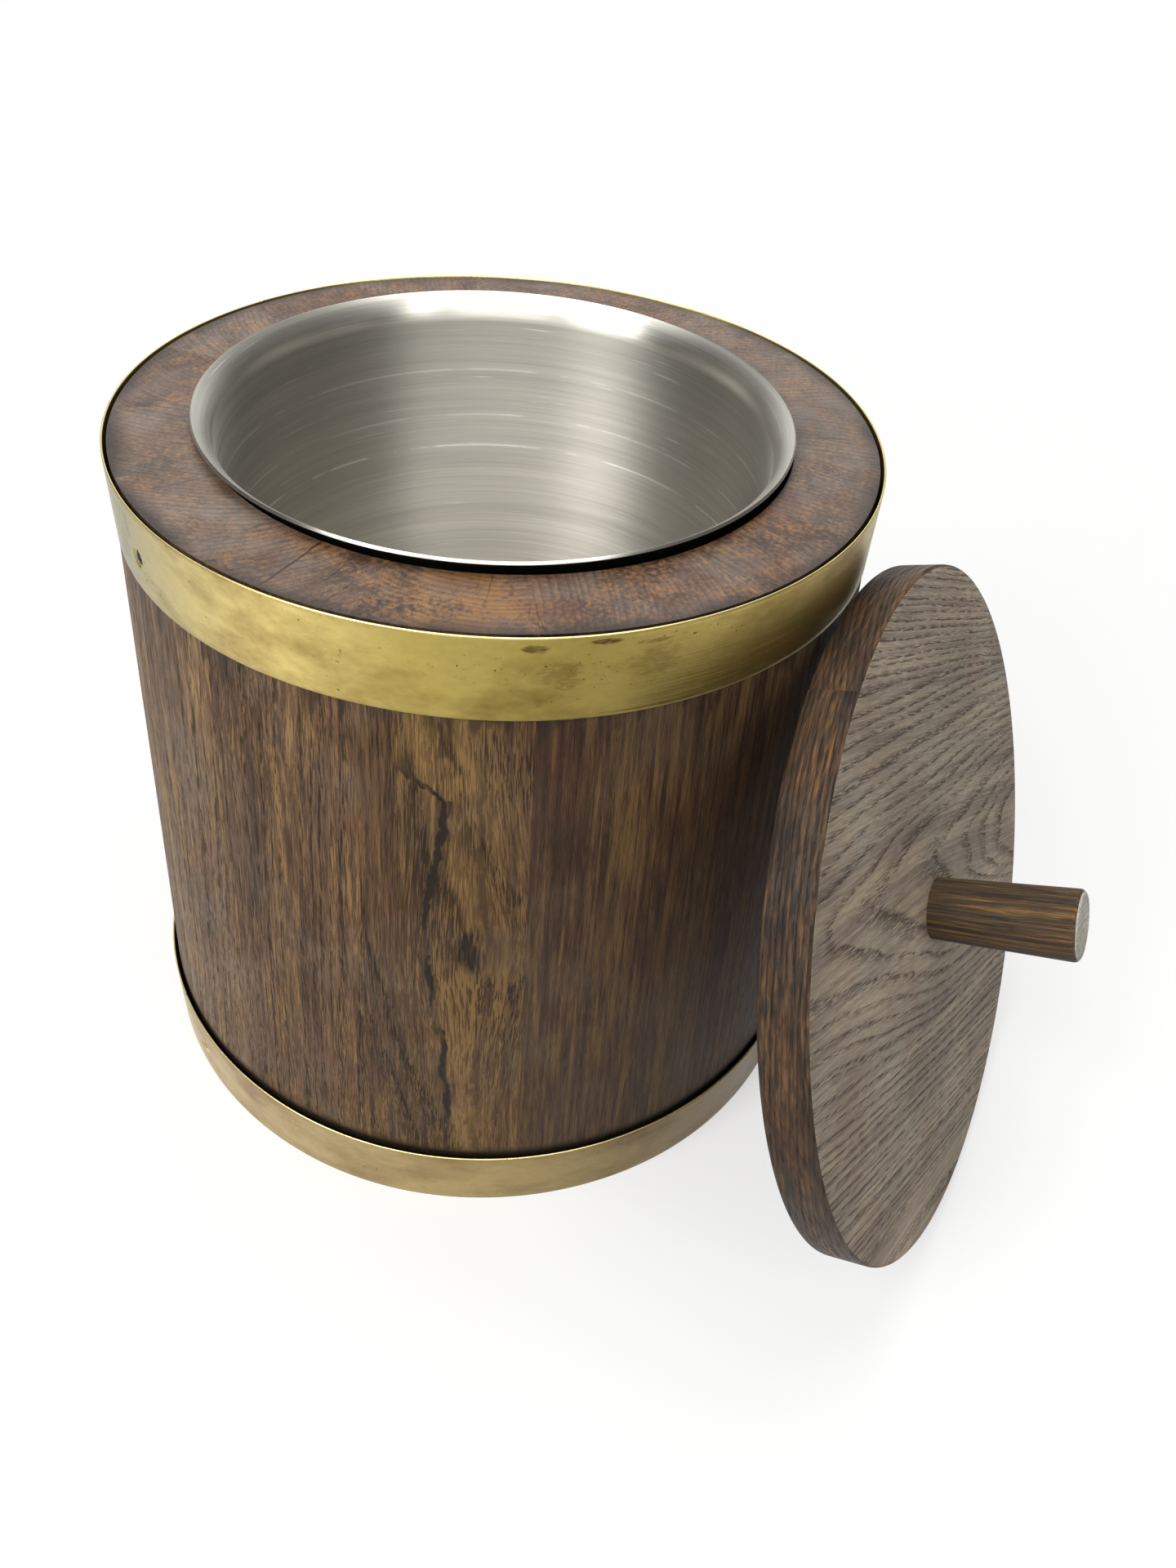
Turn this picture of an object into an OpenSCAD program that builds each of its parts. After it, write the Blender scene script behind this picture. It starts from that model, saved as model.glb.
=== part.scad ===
// Wooden ice bucket: staves held by two brass bands, with a steel liner and a lid that leans beside it.
// Millimetres, +Z up. The origin is on the floor under the middle of the base, and -Y is the front.

/* [Bucket body] */
// Height of the staves
body_h = 200; // [120:1:300]
// Outside diameter of the wood at the floor
foot_d = 217.4; // [160:0.2:320]
// Outside diameter of the wood at its top
mouth_d = 195.8; // [150:0.2:300]
// Thickness of the staves
stave_t = 22; // [14:0.5:34]
// Relative widths of the staves, going anticlockwise from the left side
stave_shares = [22, 23, 24, 23, 17, 12.5, 21.5, 22, 22, 21, 21, 22, 22, 22, 22, 21, 22];
// Bearing of the first stave joint, from the front towards the right
first_joint = -87; // [-180:1:180]

/* [Base] */
// Thickness of the base boards
base_t = 18; // [10:0.5:30]
// Width of the middle base board
base_board_w = 64; // [40:1:100]
// How far the tongue round the base reaches into the staves
tongue_reach = 6; // [3:0.5:9]
// Thickness of the tongue, in the middle of the base's edge
tongue_t = 8; // [4:0.5:9]

/* [Bands] */
// Height of each band
band_h = 21.5; // [12:0.5:40]
// Thickness of the brass
band_t = 0.5; // [0.4:0.1:2]
// How far the top band stands above the wood
band_proud = 0.2; // [0.2:0.1:4]

/* [Band nails] */
// Bearings of the nails, from the front towards the right
nail_bearings = [-56, 124];
// Height of a nail above its band's lower edge
nail_rise = 9; // [6:0.5:14]
// Diameter of the nail's head
nail_head_d = 3.6; // [2.4:0.1:5]
// Thickness of the nail's head
nail_head_t = 1; // [0.6:0.1:2]
// Diameter of the nail's shank
nail_shank_d = 1.6; // [1:0.1:2.2]
// Length of the nail under its head
nail_length = 13; // [8:0.5:18]
// How deep the nail's head lies under the band's face
nail_sink = 0.4; // [0.1:0.1:0.6]

/* [Liner] */
// Thickness of the liner's steel
liner_t = 0.8; // [0.5:0.1:1.5]
// Gap between the liner's wall and the wood at the mouth
liner_gap = 3.1; // [1:0.1:4.5]
// How far the loose liner stands to the left in its bore
liner_aside = 1.2; // [0:0.1:1.2]
// Radius of the flared lip
flare_r = 9.7; // [4:0.1:20]
// How far the lip turns out from upright, in degrees
flare_turn = 58; // [30:1:90]
// Gap between the lip's underside and the inner edge of the wood
lip_clear = 2.2; // [0.4:0.1:8]
// Radius of the corner at the liner's bottom
liner_corner_r = 8; // [4:0.5:20]

/* [Lid] */
// Diameter of the lid
lid_d = 192.8; // [150:0.2:300]
// Thickness of the lid
lid_t = 12.5; // [8:0.5:25]
// Width of the bevel round both faces of the lid
lid_edge = 1; // [0.4:0.1:3]
// Width of the middle lid board
lid_board_w = 145; // [60:1:148]
// How far the middle board lies above the lid's middle
lid_board_shift = -5.5; // [-20:0.5:20]
// Angle of the boards below the level line of the leaning lid
lid_grain = 27; // [-90:1:90]
// How far the lid leans back from upright
lid_lean = 20.6; // [10:0.1:35]
// Bearing of the leaning lid, from the front towards the right
lid_bearing = 60.2; // [-180:0.1:180]
// How far the leaning lid stands aside of its bearing
lid_aside = -3.3; // [-10:0.1:10]

/* [Peg] */
// How far the peg stands above the lid's middle
peg_up = 1.7; // [-10:0.1:10]
// Length of the peg outside the lid
peg_length = 39; // [20:1:70]
// Diameter of the peg at the lid
peg_foot_d = 17.4; // [12:0.2:30]
// Diameter of the peg at its free end
peg_end_d = 20.2; // [12:0.2:36]
// Width of the bevel at the peg's free end
peg_edge = 0.8; // [0.2:0.1:2]
// Diameter of the tenon that holds the peg in the lid
tenon_d = 10; // [6:0.2:11]

/* [Fits] */
// Gap between pieces that are glued or pressed together
snug = 0.05; // [0.02:0.01:0.15]
// Gap between pieces that only rest on each other
loose = 0.3; // [0.2:0.05:0.6]

/* [Hidden] */
$fn = 96;
stave_count = len(stave_shares);
share_sum = stave_shares * [for (s = stave_shares) 1];
// Turn that brings the X axis to the front, where bearings are counted from.
front = -90;
slope = (foot_d - mouth_d) / 2 / body_h;
bore_mouth_r = wood_r(body_h) - stave_t;
tongue_low = (base_t - tongue_t) / 2;
tongue_high = (base_t + tongue_t) / 2;
top_band_z = body_h + band_proud - band_h;
bottom_band_z = 0;
liner_r = bore_mouth_r - liner_gap;
// Radius on which the flare's middle lies, outside the wall.
flare_middle_r = liner_r - liner_t + flare_r;
// Height of the flare's middle, at which its underside clears the mouth's inner edge.
flare_z = body_h + lip_clear - sqrt(pow(flare_r - liner_t, 2) - pow(flare_middle_r - bore_mouth_r, 2));
liner_z = base_t + loose;
lid_r = lid_d / 2;
lid_face_z = lid_r * cos(lid_lean) + (lid_t - lid_edge) * sin(lid_lean);
lid_back_z = lid_face_z - lid_t * sin(lid_lean);
// Height at which the lid's back leans on the bucket: its upper edge, or the band's where the lid is taller.
lean_z = min(lid_back_z + (lid_r - lid_edge) * cos(lid_lean), top_band_z + band_h);
rest_r = lean_z > top_band_z ? band_r(top_band_z) + band_t : wood_r(lean_z);
lid_face_r = rest_r + loose + lid_t * cos(lid_lean) + (lean_z - lid_back_z) * tan(lid_lean);
nail_hole_d = nail_head_d + 2 * loose;
arc_steps = 12;
// Longer than any cut has to be.
past = 2 * (foot_d + lid_d);

wood_colour = "#5a3d2b";
pale_wood_colour = "#6d594a";
brass_colour = "#b0914a";
steel_colour = "#b9b8b2";
nail_colour = "#4a4238";

STAVES = [for (i = [1 : stave_count]) str("stave_", i < 10 ? "0" : "", i)];
BASE_BOARDS = ["base_board_front", "base_board_middle", "base_board_back"];
LID_BOARDS = ["lid_board_lower", "lid_board_middle", "lid_board_upper"];
OTHERS = ["top_band", "bottom_band", "top_band_nails", "bottom_band_nails", "liner", "lid_peg"];

// Outside radius of the wood at a height.
function wood_r(z) = foot_d / 2 - slope * z;

// Inside radius of the wood at a height.
function bore_r(z) = wood_r(z) - stave_t;

// Inside radius of a straight band whose lower edge is at a height, where the wood is widest.
function band_r(z) = wood_r(z) + snug;

// Sum of the first shares of a list.
function shares_before(i) = i == 0 ? 0 : stave_shares[i - 1] + shares_before(i - 1);

// Points of an arc round a middle, from one angle to another.
function arc(middle, r, from, to) =
    [for (k = [0 : arc_steps]) let (a = from + (to - from) * k / arc_steps) middle + r * [cos(a), sin(a)]];

// Section of a stave, with the groove for the base's tongue.
module stave_section() {
    polygon([
        [bore_r(0), 0],
        [wood_r(0), 0],
        [wood_r(body_h), body_h],
        [bore_r(body_h), body_h],
        [bore_r(tongue_high + snug), tongue_high + snug],
        [bore_r(tongue_high) + tongue_reach + snug, tongue_high + snug],
        [bore_r(tongue_high) + tongue_reach + snug, tongue_low - snug],
        [bore_r(tongue_low - snug), tongue_low - snug],
    ]);
}

// Half section of the base, with its tongue.
module base_section() {
    polygon([
        [0, 0],
        [bore_r(0) - snug, 0],
        [bore_r(tongue_low) - snug, tongue_low],
        [bore_r(tongue_high) + tongue_reach, tongue_low],
        [bore_r(tongue_high) + tongue_reach, tongue_high],
        [bore_r(tongue_high) - snug, tongue_high],
        [bore_r(base_t) - snug, base_t],
        [0, base_t],
    ]);
}

// Half section of the liner: floor, corner, wall and flared lip, in one thickness of steel.
module liner_section() {
    corner = [liner_r - liner_corner_r, liner_z + liner_corner_r];
    flare = [flare_middle_r, flare_z];
    outside = concat(
        [[0, liner_z]],
        arc(corner, liner_corner_r, -90, 0),
        arc(flare, flare_r - liner_t, 180, 180 - flare_turn)
    );
    inside = concat(
        arc(flare, flare_r, 180 - flare_turn, 180),
        arc(corner, liner_corner_r - liner_t, 0, -90),
        [[0, liner_z + liner_t]]
    );
    polygon(concat(outside, inside));
}

// Puts its children at each nail of a band, with +Z pointing out along the nail and 0 under its head.
module at_nails(band_z) {
    for (b = nail_bearings)
        rotate([0, 0, front + b])
            translate([band_r(band_z) + band_t - nail_sink - nail_head_t, 0, band_z + nail_rise])
                rotate([0, 90, 0])
                    children();
}

// One nail: a flat head on a round shank.
module nail() {
    cylinder(d = nail_head_d, h = nail_head_t);
    translate([0, 0, -nail_length])
        cylinder(d = nail_shank_d, h = nail_length + nail_head_t / 2);
}

// The room for a nail in the wood and the band.
module nail_hole() {
    translate([0, 0, -snug])
        cylinder(d = nail_hole_d, h = nail_head_t + band_t + nail_sink);
    translate([0, 0, -nail_length - snug])
        cylinder(d = nail_shank_d + 2 * snug, h = nail_length + nail_head_t);
}

// Puts its children on the leaning lid: +Z out of its face, +X down the face, +Y level and to the back.
module on_lid() {
    rotate([0, 0, front + lid_bearing])
        translate([lid_face_r, lid_aside, lid_face_z])
            rotate([0, 90 - lid_lean, 0])
                children();
}

// The whole lid as one disc with bevelled edges, its face at 0 and its back below.
module lid_disc() {
    translate([0, 0, -lid_t])
        rotate_extrude()
            polygon([
                [0, 0],
                [lid_r - lid_edge, 0],
                [lid_r, lid_edge],
                [lid_r, lid_t - lid_edge],
                [lid_r - lid_edge, lid_t],
                [0, lid_t],
            ]);
}

// The strip of the lid between two distances above its middle, square to the boards.
module lid_strip(low, high) {
    rotate([0, 0, 180 - lid_grain])
        translate([low, -past / 2, -past / 2])
            cube([high - low, past, past]);
}

module stave(i) {
    color(wood_colour)
        difference() {
            rotate([0, 0, front + first_joint + 360 * shares_before(i) / share_sum])
                rotate_extrude(angle = 360 * stave_shares[i] / share_sum)
                    stave_section();
            at_nails(top_band_z) nail_hole();
            at_nails(bottom_band_z) nail_hole();
        }
}

module base_board(i) {
    low = [-past / 2, -base_board_w / 2, base_board_w / 2][i];
    high = [-base_board_w / 2, base_board_w / 2, past / 2][i];
    color(wood_colour)
        intersection() {
            rotate_extrude() base_section();
            translate([-past / 2, low, 0])
                cube([past, high - low, base_t]);
        }
}

module band(z) {
    color(brass_colour)
        difference() {
            translate([0, 0, z])
                rotate_extrude()
                    translate([band_r(z), 0])
                        square([band_t, band_h]);
            at_nails(z) nail_hole();
        }
}

module band_nails(z) {
    color(nail_colour)
        at_nails(z) nail();
}

module liner() {
    color(steel_colour)
        translate([-liner_aside, 0, 0])
            rotate_extrude() liner_section();
}

module lid_board(i) {
    middle_low = lid_board_shift - lid_board_w / 2;
    middle_high = lid_board_shift + lid_board_w / 2;
    low = [-past / 2, middle_low, middle_high][i];
    high = [middle_low, middle_high, past / 2][i];
    color(pale_wood_colour)
        on_lid()
            difference() {
                intersection() {
                    lid_disc();
                    lid_strip(low, high);
                }
                translate([-peg_up, 0, -2 * lid_t])
                    cylinder(d = tenon_d + 2 * snug, h = 3 * lid_t);
            }
}

module lid_peg() {
    tenon_r = tenon_d / 2;
    color(wood_colour)
        on_lid()
            translate([-peg_up, 0, 0])
                rotate_extrude()
                    polygon([
                        [0, -lid_t],
                        [tenon_r, -lid_t],
                        [tenon_r, 0],
                        [peg_foot_d / 2, 0],
                        [peg_end_d / 2, peg_length - peg_edge],
                        [peg_end_d / 2 - peg_edge, peg_length],
                        [0, peg_length],
                    ]);
}

for (i = [0 : stave_count - 1])
    stave(i);
for (i = [0 : len(BASE_BOARDS) - 1])
    base_board(i);
for (i = [0 : len(LID_BOARDS) - 1])
    lid_board(i);
band(top_band_z);  // top_band
band(bottom_band_z);  // bottom_band
band_nails(top_band_z);  // top_band_nails
band_nails(bottom_band_z);  // bottom_band_nails
liner();
lid_peg();
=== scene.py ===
"""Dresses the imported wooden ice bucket: staves, base, brass bands, steel liner, lid and peg.

Meshes are in metres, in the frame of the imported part: +Z up, the floor at 0, -Y towards the viewer.
Finishes work in millimetres.
"""

from __future__ import annotations

import logging
import math
from dataclasses import dataclass, field, replace
from enum import Enum
from typing import Callable, Iterator, Sequence

import bmesh
import bpy
import numpy as np
from mathutils import Matrix, Vector


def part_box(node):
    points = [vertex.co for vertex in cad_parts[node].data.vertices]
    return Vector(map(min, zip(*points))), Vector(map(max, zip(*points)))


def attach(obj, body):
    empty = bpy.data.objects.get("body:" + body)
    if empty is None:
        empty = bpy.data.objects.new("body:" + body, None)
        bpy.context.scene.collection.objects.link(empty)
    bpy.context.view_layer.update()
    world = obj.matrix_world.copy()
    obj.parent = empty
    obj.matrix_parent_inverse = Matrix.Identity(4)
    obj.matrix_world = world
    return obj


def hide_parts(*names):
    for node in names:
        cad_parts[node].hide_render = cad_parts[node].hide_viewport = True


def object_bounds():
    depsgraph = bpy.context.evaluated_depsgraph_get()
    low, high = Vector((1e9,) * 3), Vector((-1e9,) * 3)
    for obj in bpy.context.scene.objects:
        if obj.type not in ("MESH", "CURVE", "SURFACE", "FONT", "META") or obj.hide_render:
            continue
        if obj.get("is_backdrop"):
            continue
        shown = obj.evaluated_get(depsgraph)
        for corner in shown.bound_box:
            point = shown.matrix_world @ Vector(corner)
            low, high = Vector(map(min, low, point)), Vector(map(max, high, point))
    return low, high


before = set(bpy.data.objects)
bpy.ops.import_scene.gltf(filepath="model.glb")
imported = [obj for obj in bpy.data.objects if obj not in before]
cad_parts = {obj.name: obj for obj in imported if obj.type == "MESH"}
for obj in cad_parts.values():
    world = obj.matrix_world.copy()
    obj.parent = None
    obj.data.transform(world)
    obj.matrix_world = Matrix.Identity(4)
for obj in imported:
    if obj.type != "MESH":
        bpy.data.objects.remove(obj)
CAD_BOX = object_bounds()

log = logging.getLogger("ice_bucket")

MM = 0.001
UP = Vector((0, 0, 1))
WHITE = "#ffffff"

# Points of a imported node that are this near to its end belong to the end.
NEAR = 0.1 * MM

# Types of the sockets that hold three numbers.
TRIPLES = ("VECTOR", "RGBA")


def linear(colour: str) -> tuple[float, float, float, float]:
    """Turns an sRGB hex colour into linear values.

    Args:
        colour: Six hex digits after a hash sign.

    Returns:
        Red, green, blue and an alpha of 1.
    """
    shares = [int(colour[i:i + 2], 16) / 255 for i in (1, 3, 5)]
    return (*(s / 12.92 if s <= 0.04045 else ((s + 0.055) / 1.055) ** 2.4 for s in shares), 1.0)


def add(tree: bpy.types.NodeTree, kind: str, feed: dict | None = None, stops: Sequence = (),
        **settings: object) -> bpy.types.Node:
    """Adds a node to a tree, with its settings, values and links.

    Args:
        tree: The shader or geometry tree.
        kind: The node's type name.
        feed: Input name or index to a plain value, a Value, or a node whose first output is used.
        stops: Position and value pairs of a colour ramp, where a value is a number or a hex colour.
        **settings: Attributes of the node.

    Returns:
        The new node.
    """
    node = tree.nodes.new(kind)
    for name, setting in settings.items():
        setattr(node, name, setting)
    for key, source in (feed or {}).items():
        if isinstance(source, bpy.types.Node):
            source = Value(source)
        if isinstance(source, Value):
            tree.links.new(source.socket, node.inputs[key])
        else:
            node.inputs[key].default_value = source
    for index, (place, shade) in enumerate(stops):
        elements = node.color_ramp.elements
        element = elements[index] if index < 2 else elements.new(place)
        element.position = place
        element.color = linear(shade) if isinstance(shade, str) else (shade, shade, shade, 1.0)
    return node


class Value:
    """A number, place or colour in a tree. Sums on it add nodes to the tree.

    Attributes:
        socket: The output that holds it.
        tree: The tree that the output is in.
    """

    def __init__(self, source: bpy.types.Node | bpy.types.NodeSocket) -> None:
        """Keeps a socket, or a node's first output."""
        self.socket = source.outputs[0] if isinstance(source, bpy.types.Node) else source
        self.tree = self.socket.id_data

    def __add__(self, other: Value | tuple | float) -> Value:
        """The sum with another value."""
        return work_out("ADD", self, other)

    def __sub__(self, other: Value | tuple | float) -> Value:
        """This value less another."""
        return work_out("SUBTRACT", self, other)

    def __rsub__(self, other: Value | tuple | float) -> Value:
        """Another value less this one."""
        return work_out("SUBTRACT", other, self)

    def __mul__(self, other: Value | tuple | float) -> Value:
        """The product with another value."""
        return work_out("MULTIPLY", self, other)

    def __truediv__(self, other: Value | tuple | float) -> Value:
        """This value divided by another."""
        return work_out("DIVIDE", self, other)

    def __rtruediv__(self, other: Value | tuple | float) -> Value:
        """Another value divided by this one."""
        return work_out("DIVIDE", other, self)

    def __iter__(self) -> Iterator[Value]:
        """The three numbers of a place or colour, to unpack."""
        return (Value(part) for part in add(self.tree, "ShaderNodeSeparateXYZ", {0: self}).outputs)

    def spread(self, low: float, high: float, to_low: float = 0.0, to_high: float = 1.0) -> Value:
        """Spreads a range of this number over another range, and stops at its ends.

        Args:
            low: Start of the range.
            high: End of the range.
            to_low: What the start becomes.
            to_high: What the end becomes.

        Returns:
            The spread number.
        """
        share = work_out("DIVIDE", self - low, high - low, use_clamp=True)
        return share * (to_high - to_low) + to_low

    def blend(self, first: Value | tuple, second: Value | tuple) -> Value:
        """Mixes two colours, where this number is the second one's share."""
        return (1.0 - self) * first + self * second


def work_out(operation: str, *values: Value | tuple | float, **settings: object) -> Value:
    """Does one sum on numbers, or on all three numbers of places and colours.

    Args:
        operation: Name of the operation.
        *values: What it works on. At least one is a Value. A tuple is a place or a colour.
        **settings: Other attributes of the sum's node.

    Returns:
        The result.
    """
    sources = [v for v in values if isinstance(v, Value)]
    triple = any(v.socket.type in TRIPLES for v in sources) or any(isinstance(v, tuple) for v in values)
    feed = {}
    for index, value in enumerate(values):
        if triple and not isinstance(value, Value):
            value = value[:3] if isinstance(value, tuple) else (value,) * 3
        feed[index] = value
    kind = "ShaderNodeVectorMath" if triple else "ShaderNodeMath"
    return Value(add(sources[0].tree, kind, feed, operation=operation, **settings))


def row_place(tree: bpy.types.NodeTree) -> Value:
    """The place in the row's frame, in mm."""
    return Value(add(tree, "ShaderNodeTexCoord").outputs["Object"]) * (1 / MM)


def patches(place: Value, size: tuple[float, float, float], low: float, high: float, detail: float = 3.0,
            shift: float = 0.0, roughness: float = 0.5) -> Value:
    """Makes patches of noise.

    Args:
        place: Where the noise is read, in mm.
        size: Size of the patches along X, Y and Z, in mm.
        low: Noise that gives 0.
        high: Noise that gives 1.
        detail: How many finer layers lie on the patches.
        shift: Number that makes the patches their own.
        roughness: How strong the finer layers are.

    Returns:
        A number from 0 to 1.
    """
    spot = place * tuple(1 / reach for reach in size) + shift
    feed = {"Vector": spot, "Scale": 1.0, "Detail": detail, "Roughness": roughness}
    return Value(add(place.tree, "ShaderNodeTexNoise", feed)).spread(low, high)


def new_material(name: str) -> tuple[bpy.types.Material, bpy.types.NodeTree]:
    """Makes a material with an empty tree.

    Args:
        name: The material's name.

    Returns:
        The material and its tree.
    """
    material = bpy.data.materials.new(name)
    material.use_nodes = True
    material.node_tree.nodes.clear()
    return material, material.node_tree


def coat(tree: bpy.types.NodeTree, feed: dict) -> None:
    """Ends a material's tree in its surface shader.

    Args:
        tree: The material's tree.
        feed: The shader's inputs by name.
    """
    add(tree, "ShaderNodeOutputMaterial", {"Surface": add(tree, "ShaderNodeBsdfPrincipled", feed)})


def node_points(name: str) -> np.ndarray:
    """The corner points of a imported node, one row each."""
    return np.array([v.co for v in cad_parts[name].data.vertices], float)


def off_axis(points: np.ndarray) -> np.ndarray:
    """How far points lie from the Z axis."""
    return np.hypot(points[:, 0], points[:, 1])


def show(mesh: bpy.types.Mesh, body: str, replaced: str, sharp_deg: float) -> None:
    """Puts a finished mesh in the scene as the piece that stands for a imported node.

    Args:
        mesh: The mesh, in place in the row's frame.
        body: The body that it rides on.
        replaced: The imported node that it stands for.
        sharp_deg: Edges that turn more than this stay sharp.
    """
    mesh.shade_smooth()
    mesh.set_sharp_from_angle(angle=math.radians(sharp_deg))
    piece = bpy.data.objects.new(mesh.name, mesh)
    bpy.context.scene.collection.objects.link(piece)
    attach(piece, body)
    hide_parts(replaced)
    log.info("%s: %d faces on %s", piece.name, len(mesh.polygons), body)


def settle(piece: bpy.types.Object) -> bpy.types.Mesh:
    """Turns an object with live modifiers into a plain mesh and removes the object.

    Args:
        piece: The object, which is in the scene.

    Returns:
        The plain mesh, under the object's name.
    """
    name, source = piece.name, piece.data
    depsgraph = bpy.context.evaluated_depsgraph_get()
    mesh = bpy.data.meshes.new_from_object(piece.evaluated_get(depsgraph), depsgraph=depsgraph)
    bpy.data.objects.remove(piece)
    bpy.data.meshes.remove(source)
    mesh.name = name
    return mesh


def grow(name: str, tree: bpy.types.NodeTree, sizes: dict[str, object], bevel: float = 0.0) -> bpy.types.Mesh:
    """Runs a geometry tree on an empty mesh and keeps the result as a plain mesh.

    Args:
        name: The mesh's name.
        tree: The geometry tree.
        sizes: Input names to values.
        bevel: Width of the bevel along sharp edges, or 0 for none.

    Returns:
        The plain mesh.
    """
    piece = bpy.data.objects.new(name, bpy.data.meshes.new(name))
    bpy.context.scene.collection.objects.link(piece)
    nodes = piece.modifiers.new("nodes", "NODES")
    nodes.node_group = tree
    for socket in tree.interface.items_tree:
        if socket.item_type == "SOCKET" and socket.in_out == "INPUT" and socket.name in sizes:
            nodes[socket.identifier] = sizes[socket.name]
    if bevel:
        edge = piece.modifiers.new("edge", "BEVEL")
        edge.width = bevel
        edge.segments = 2
        edge.limit_method = "ANGLE"
        edge.angle_limit = math.radians(50)
    return settle(piece)


def carve(mesh: bpy.types.Mesh, tool: bpy.types.Mesh) -> bpy.types.Mesh:
    """Cuts a tool's form out of a mesh and removes the tool.

    Args:
        mesh: The closed mesh to cut.
        tool: The closed form to take away.

    Returns:
        The mesh that is left, under the same name.
    """
    piece, cutter = (bpy.data.objects.new(form.name, form) for form in (mesh, tool))
    for each in (piece, cutter):
        bpy.context.scene.collection.objects.link(each)
    cut = piece.modifiers.new("cut", "BOOLEAN")
    cut.operation = "DIFFERENCE"
    cut.solver = "EXACT"
    cut.object = cutter
    carved = settle(piece)
    bpy.data.objects.remove(cutter)
    bpy.data.meshes.remove(tool)
    return carved


def new_tree(name: str, sizes: Sequence[str], finish: str) -> tuple[bpy.types.NodeTree, dict[str, Value]]:
    """Makes an empty geometry tree with named sizes and a material as inputs.

    Args:
        name: The tree's name.
        sizes: Names of its number inputs.
        finish: Name of its material input.

    Returns:
        The tree and its inputs by name.
    """
    tree = bpy.data.node_groups.new(name, "GeometryNodeTree")
    for size in sizes:
        tree.interface.new_socket(size, in_out="INPUT", socket_type="NodeSocketFloat")
    tree.interface.new_socket(finish, in_out="INPUT", socket_type="NodeSocketMaterial")
    tree.interface.new_socket("Geometry", in_out="OUTPUT", socket_type="NodeSocketGeometry")
    return tree, {socket.name: Value(socket) for socket in add(tree, "NodeGroupInput").outputs}


def end_tree(tree: bpy.types.NodeTree, geometry: bpy.types.Node, finish: Value) -> bpy.types.NodeTree:
    """Ends a geometry tree in real geometry with its material.

    Args:
        tree: The tree.
        geometry: The node that gives the geometry.
        finish: The material input.

    Returns:
        The tree.
    """
    whole = add(tree, "GeometryNodeRealizeInstances", {0: geometry})
    dressed = add(tree, "GeometryNodeSetMaterial", {"Geometry": whole, "Material": finish})
    add(tree, "NodeGroupOutput", {0: dressed})
    return tree


def on_circle(radius: Value | float, angle: Value, height: Value | float = 0.0) -> Value:
    """The place at a radius, an angle and a height round the Z axis."""
    x, y = (work_out(wave, angle) * radius for wave in ("COSINE", "SINE"))
    return Value(add(angle.tree, "ShaderNodeCombineXYZ", {0: x, 1: y, 2: height}))


def lathe(name: str, profile: Sequence[tuple[float, float]], angles: Sequence[float], closed: bool = False,
          bend: Callable[[float, float], float] | None = None) -> bpy.types.Mesh:
    """Turns a section about Z.

    Args:
        name: The mesh's name.
        profile: Radius and height pairs, going up the outside and down the inside.
        angles: The bearings of the columns, in radians, over one whole turn.
        closed: Whether the section's last point joins its first, as on a ring. Otherwise both lie on the
            axis.
        bend: Extra radius at an angle and a height.

    Returns:
        The mesh, with faces outwards.
    """
    form = bmesh.new()
    columns = []
    poles = {i: form.verts.new((0, 0, z)) for i, (r, z) in enumerate(profile) if r == 0}
    for angle in angles:
        column = []
        for i, (r, z) in enumerate(profile):
            radius = r + (bend(angle, z) if bend else 0.0)
            place = (radius * math.cos(angle), radius * math.sin(angle), z)
            column.append(poles[i] if i in poles else form.verts.new(place))
        columns.append(column)
    rows = len(profile) if closed else len(profile) - 1
    for near, far in zip(columns, columns[1:] + columns[:1]):
        for i in range(rows):
            j = (i + 1) % len(profile)
            form.faces.new(list(dict.fromkeys([near[i], far[i], far[j], near[j]])))
    bmesh.ops.recalc_face_normals(form, faces=form.faces)
    mesh = bpy.data.meshes.new(name)
    form.to_mesh(mesh)
    form.free()
    return mesh


def disc(name: str, radius: float, low: float, high: float, columns: int) -> bpy.types.Mesh:
    """A round disc about Z between two heights."""
    return lathe(name, [(0.0, low), (radius, low), (radius, high), (0.0, high)], even_turn(columns))


def even_turn(count: int) -> list[float]:
    """Bearings of evenly spaced columns over one turn."""
    return [2 * math.pi * i / count for i in range(count)]


def arc(middle: tuple[float, float], radius: float, start_deg: float, stop_deg: float,
        steps: int) -> list[tuple[float, float]]:
    """Points of an arc, both ends included."""
    turns = [math.radians(start_deg + (stop_deg - start_deg) * i / steps) for i in range(steps + 1)]
    return [(middle[0] + radius * math.cos(t), middle[1] + radius * math.sin(t)) for t in turns]


def dress(mesh: bpy.types.Mesh, finishes: Sequence[bpy.types.Material],
          second: Callable[[bpy.types.MeshPolygon], bool] | None = None) -> None:
    """Gives a mesh its materials.

    Args:
        mesh: The finished mesh.
        finishes: One material, or two.
        second: Whether a face takes the second material.
    """
    mesh.materials.clear()
    for finish in finishes:
        mesh.materials.append(finish)
    for face in mesh.polygons:
        face.material_index = 1 if second and second(face) else 0


class Sawing(Enum):
    """How a plank was cut from its log: where the log's heart lies across and behind its face, in mm."""

    FLAT = (0.0, -55.0)
    RIFT = (-75.0, -60.0)
    QUARTER = (-120.0, -35.0)


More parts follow.
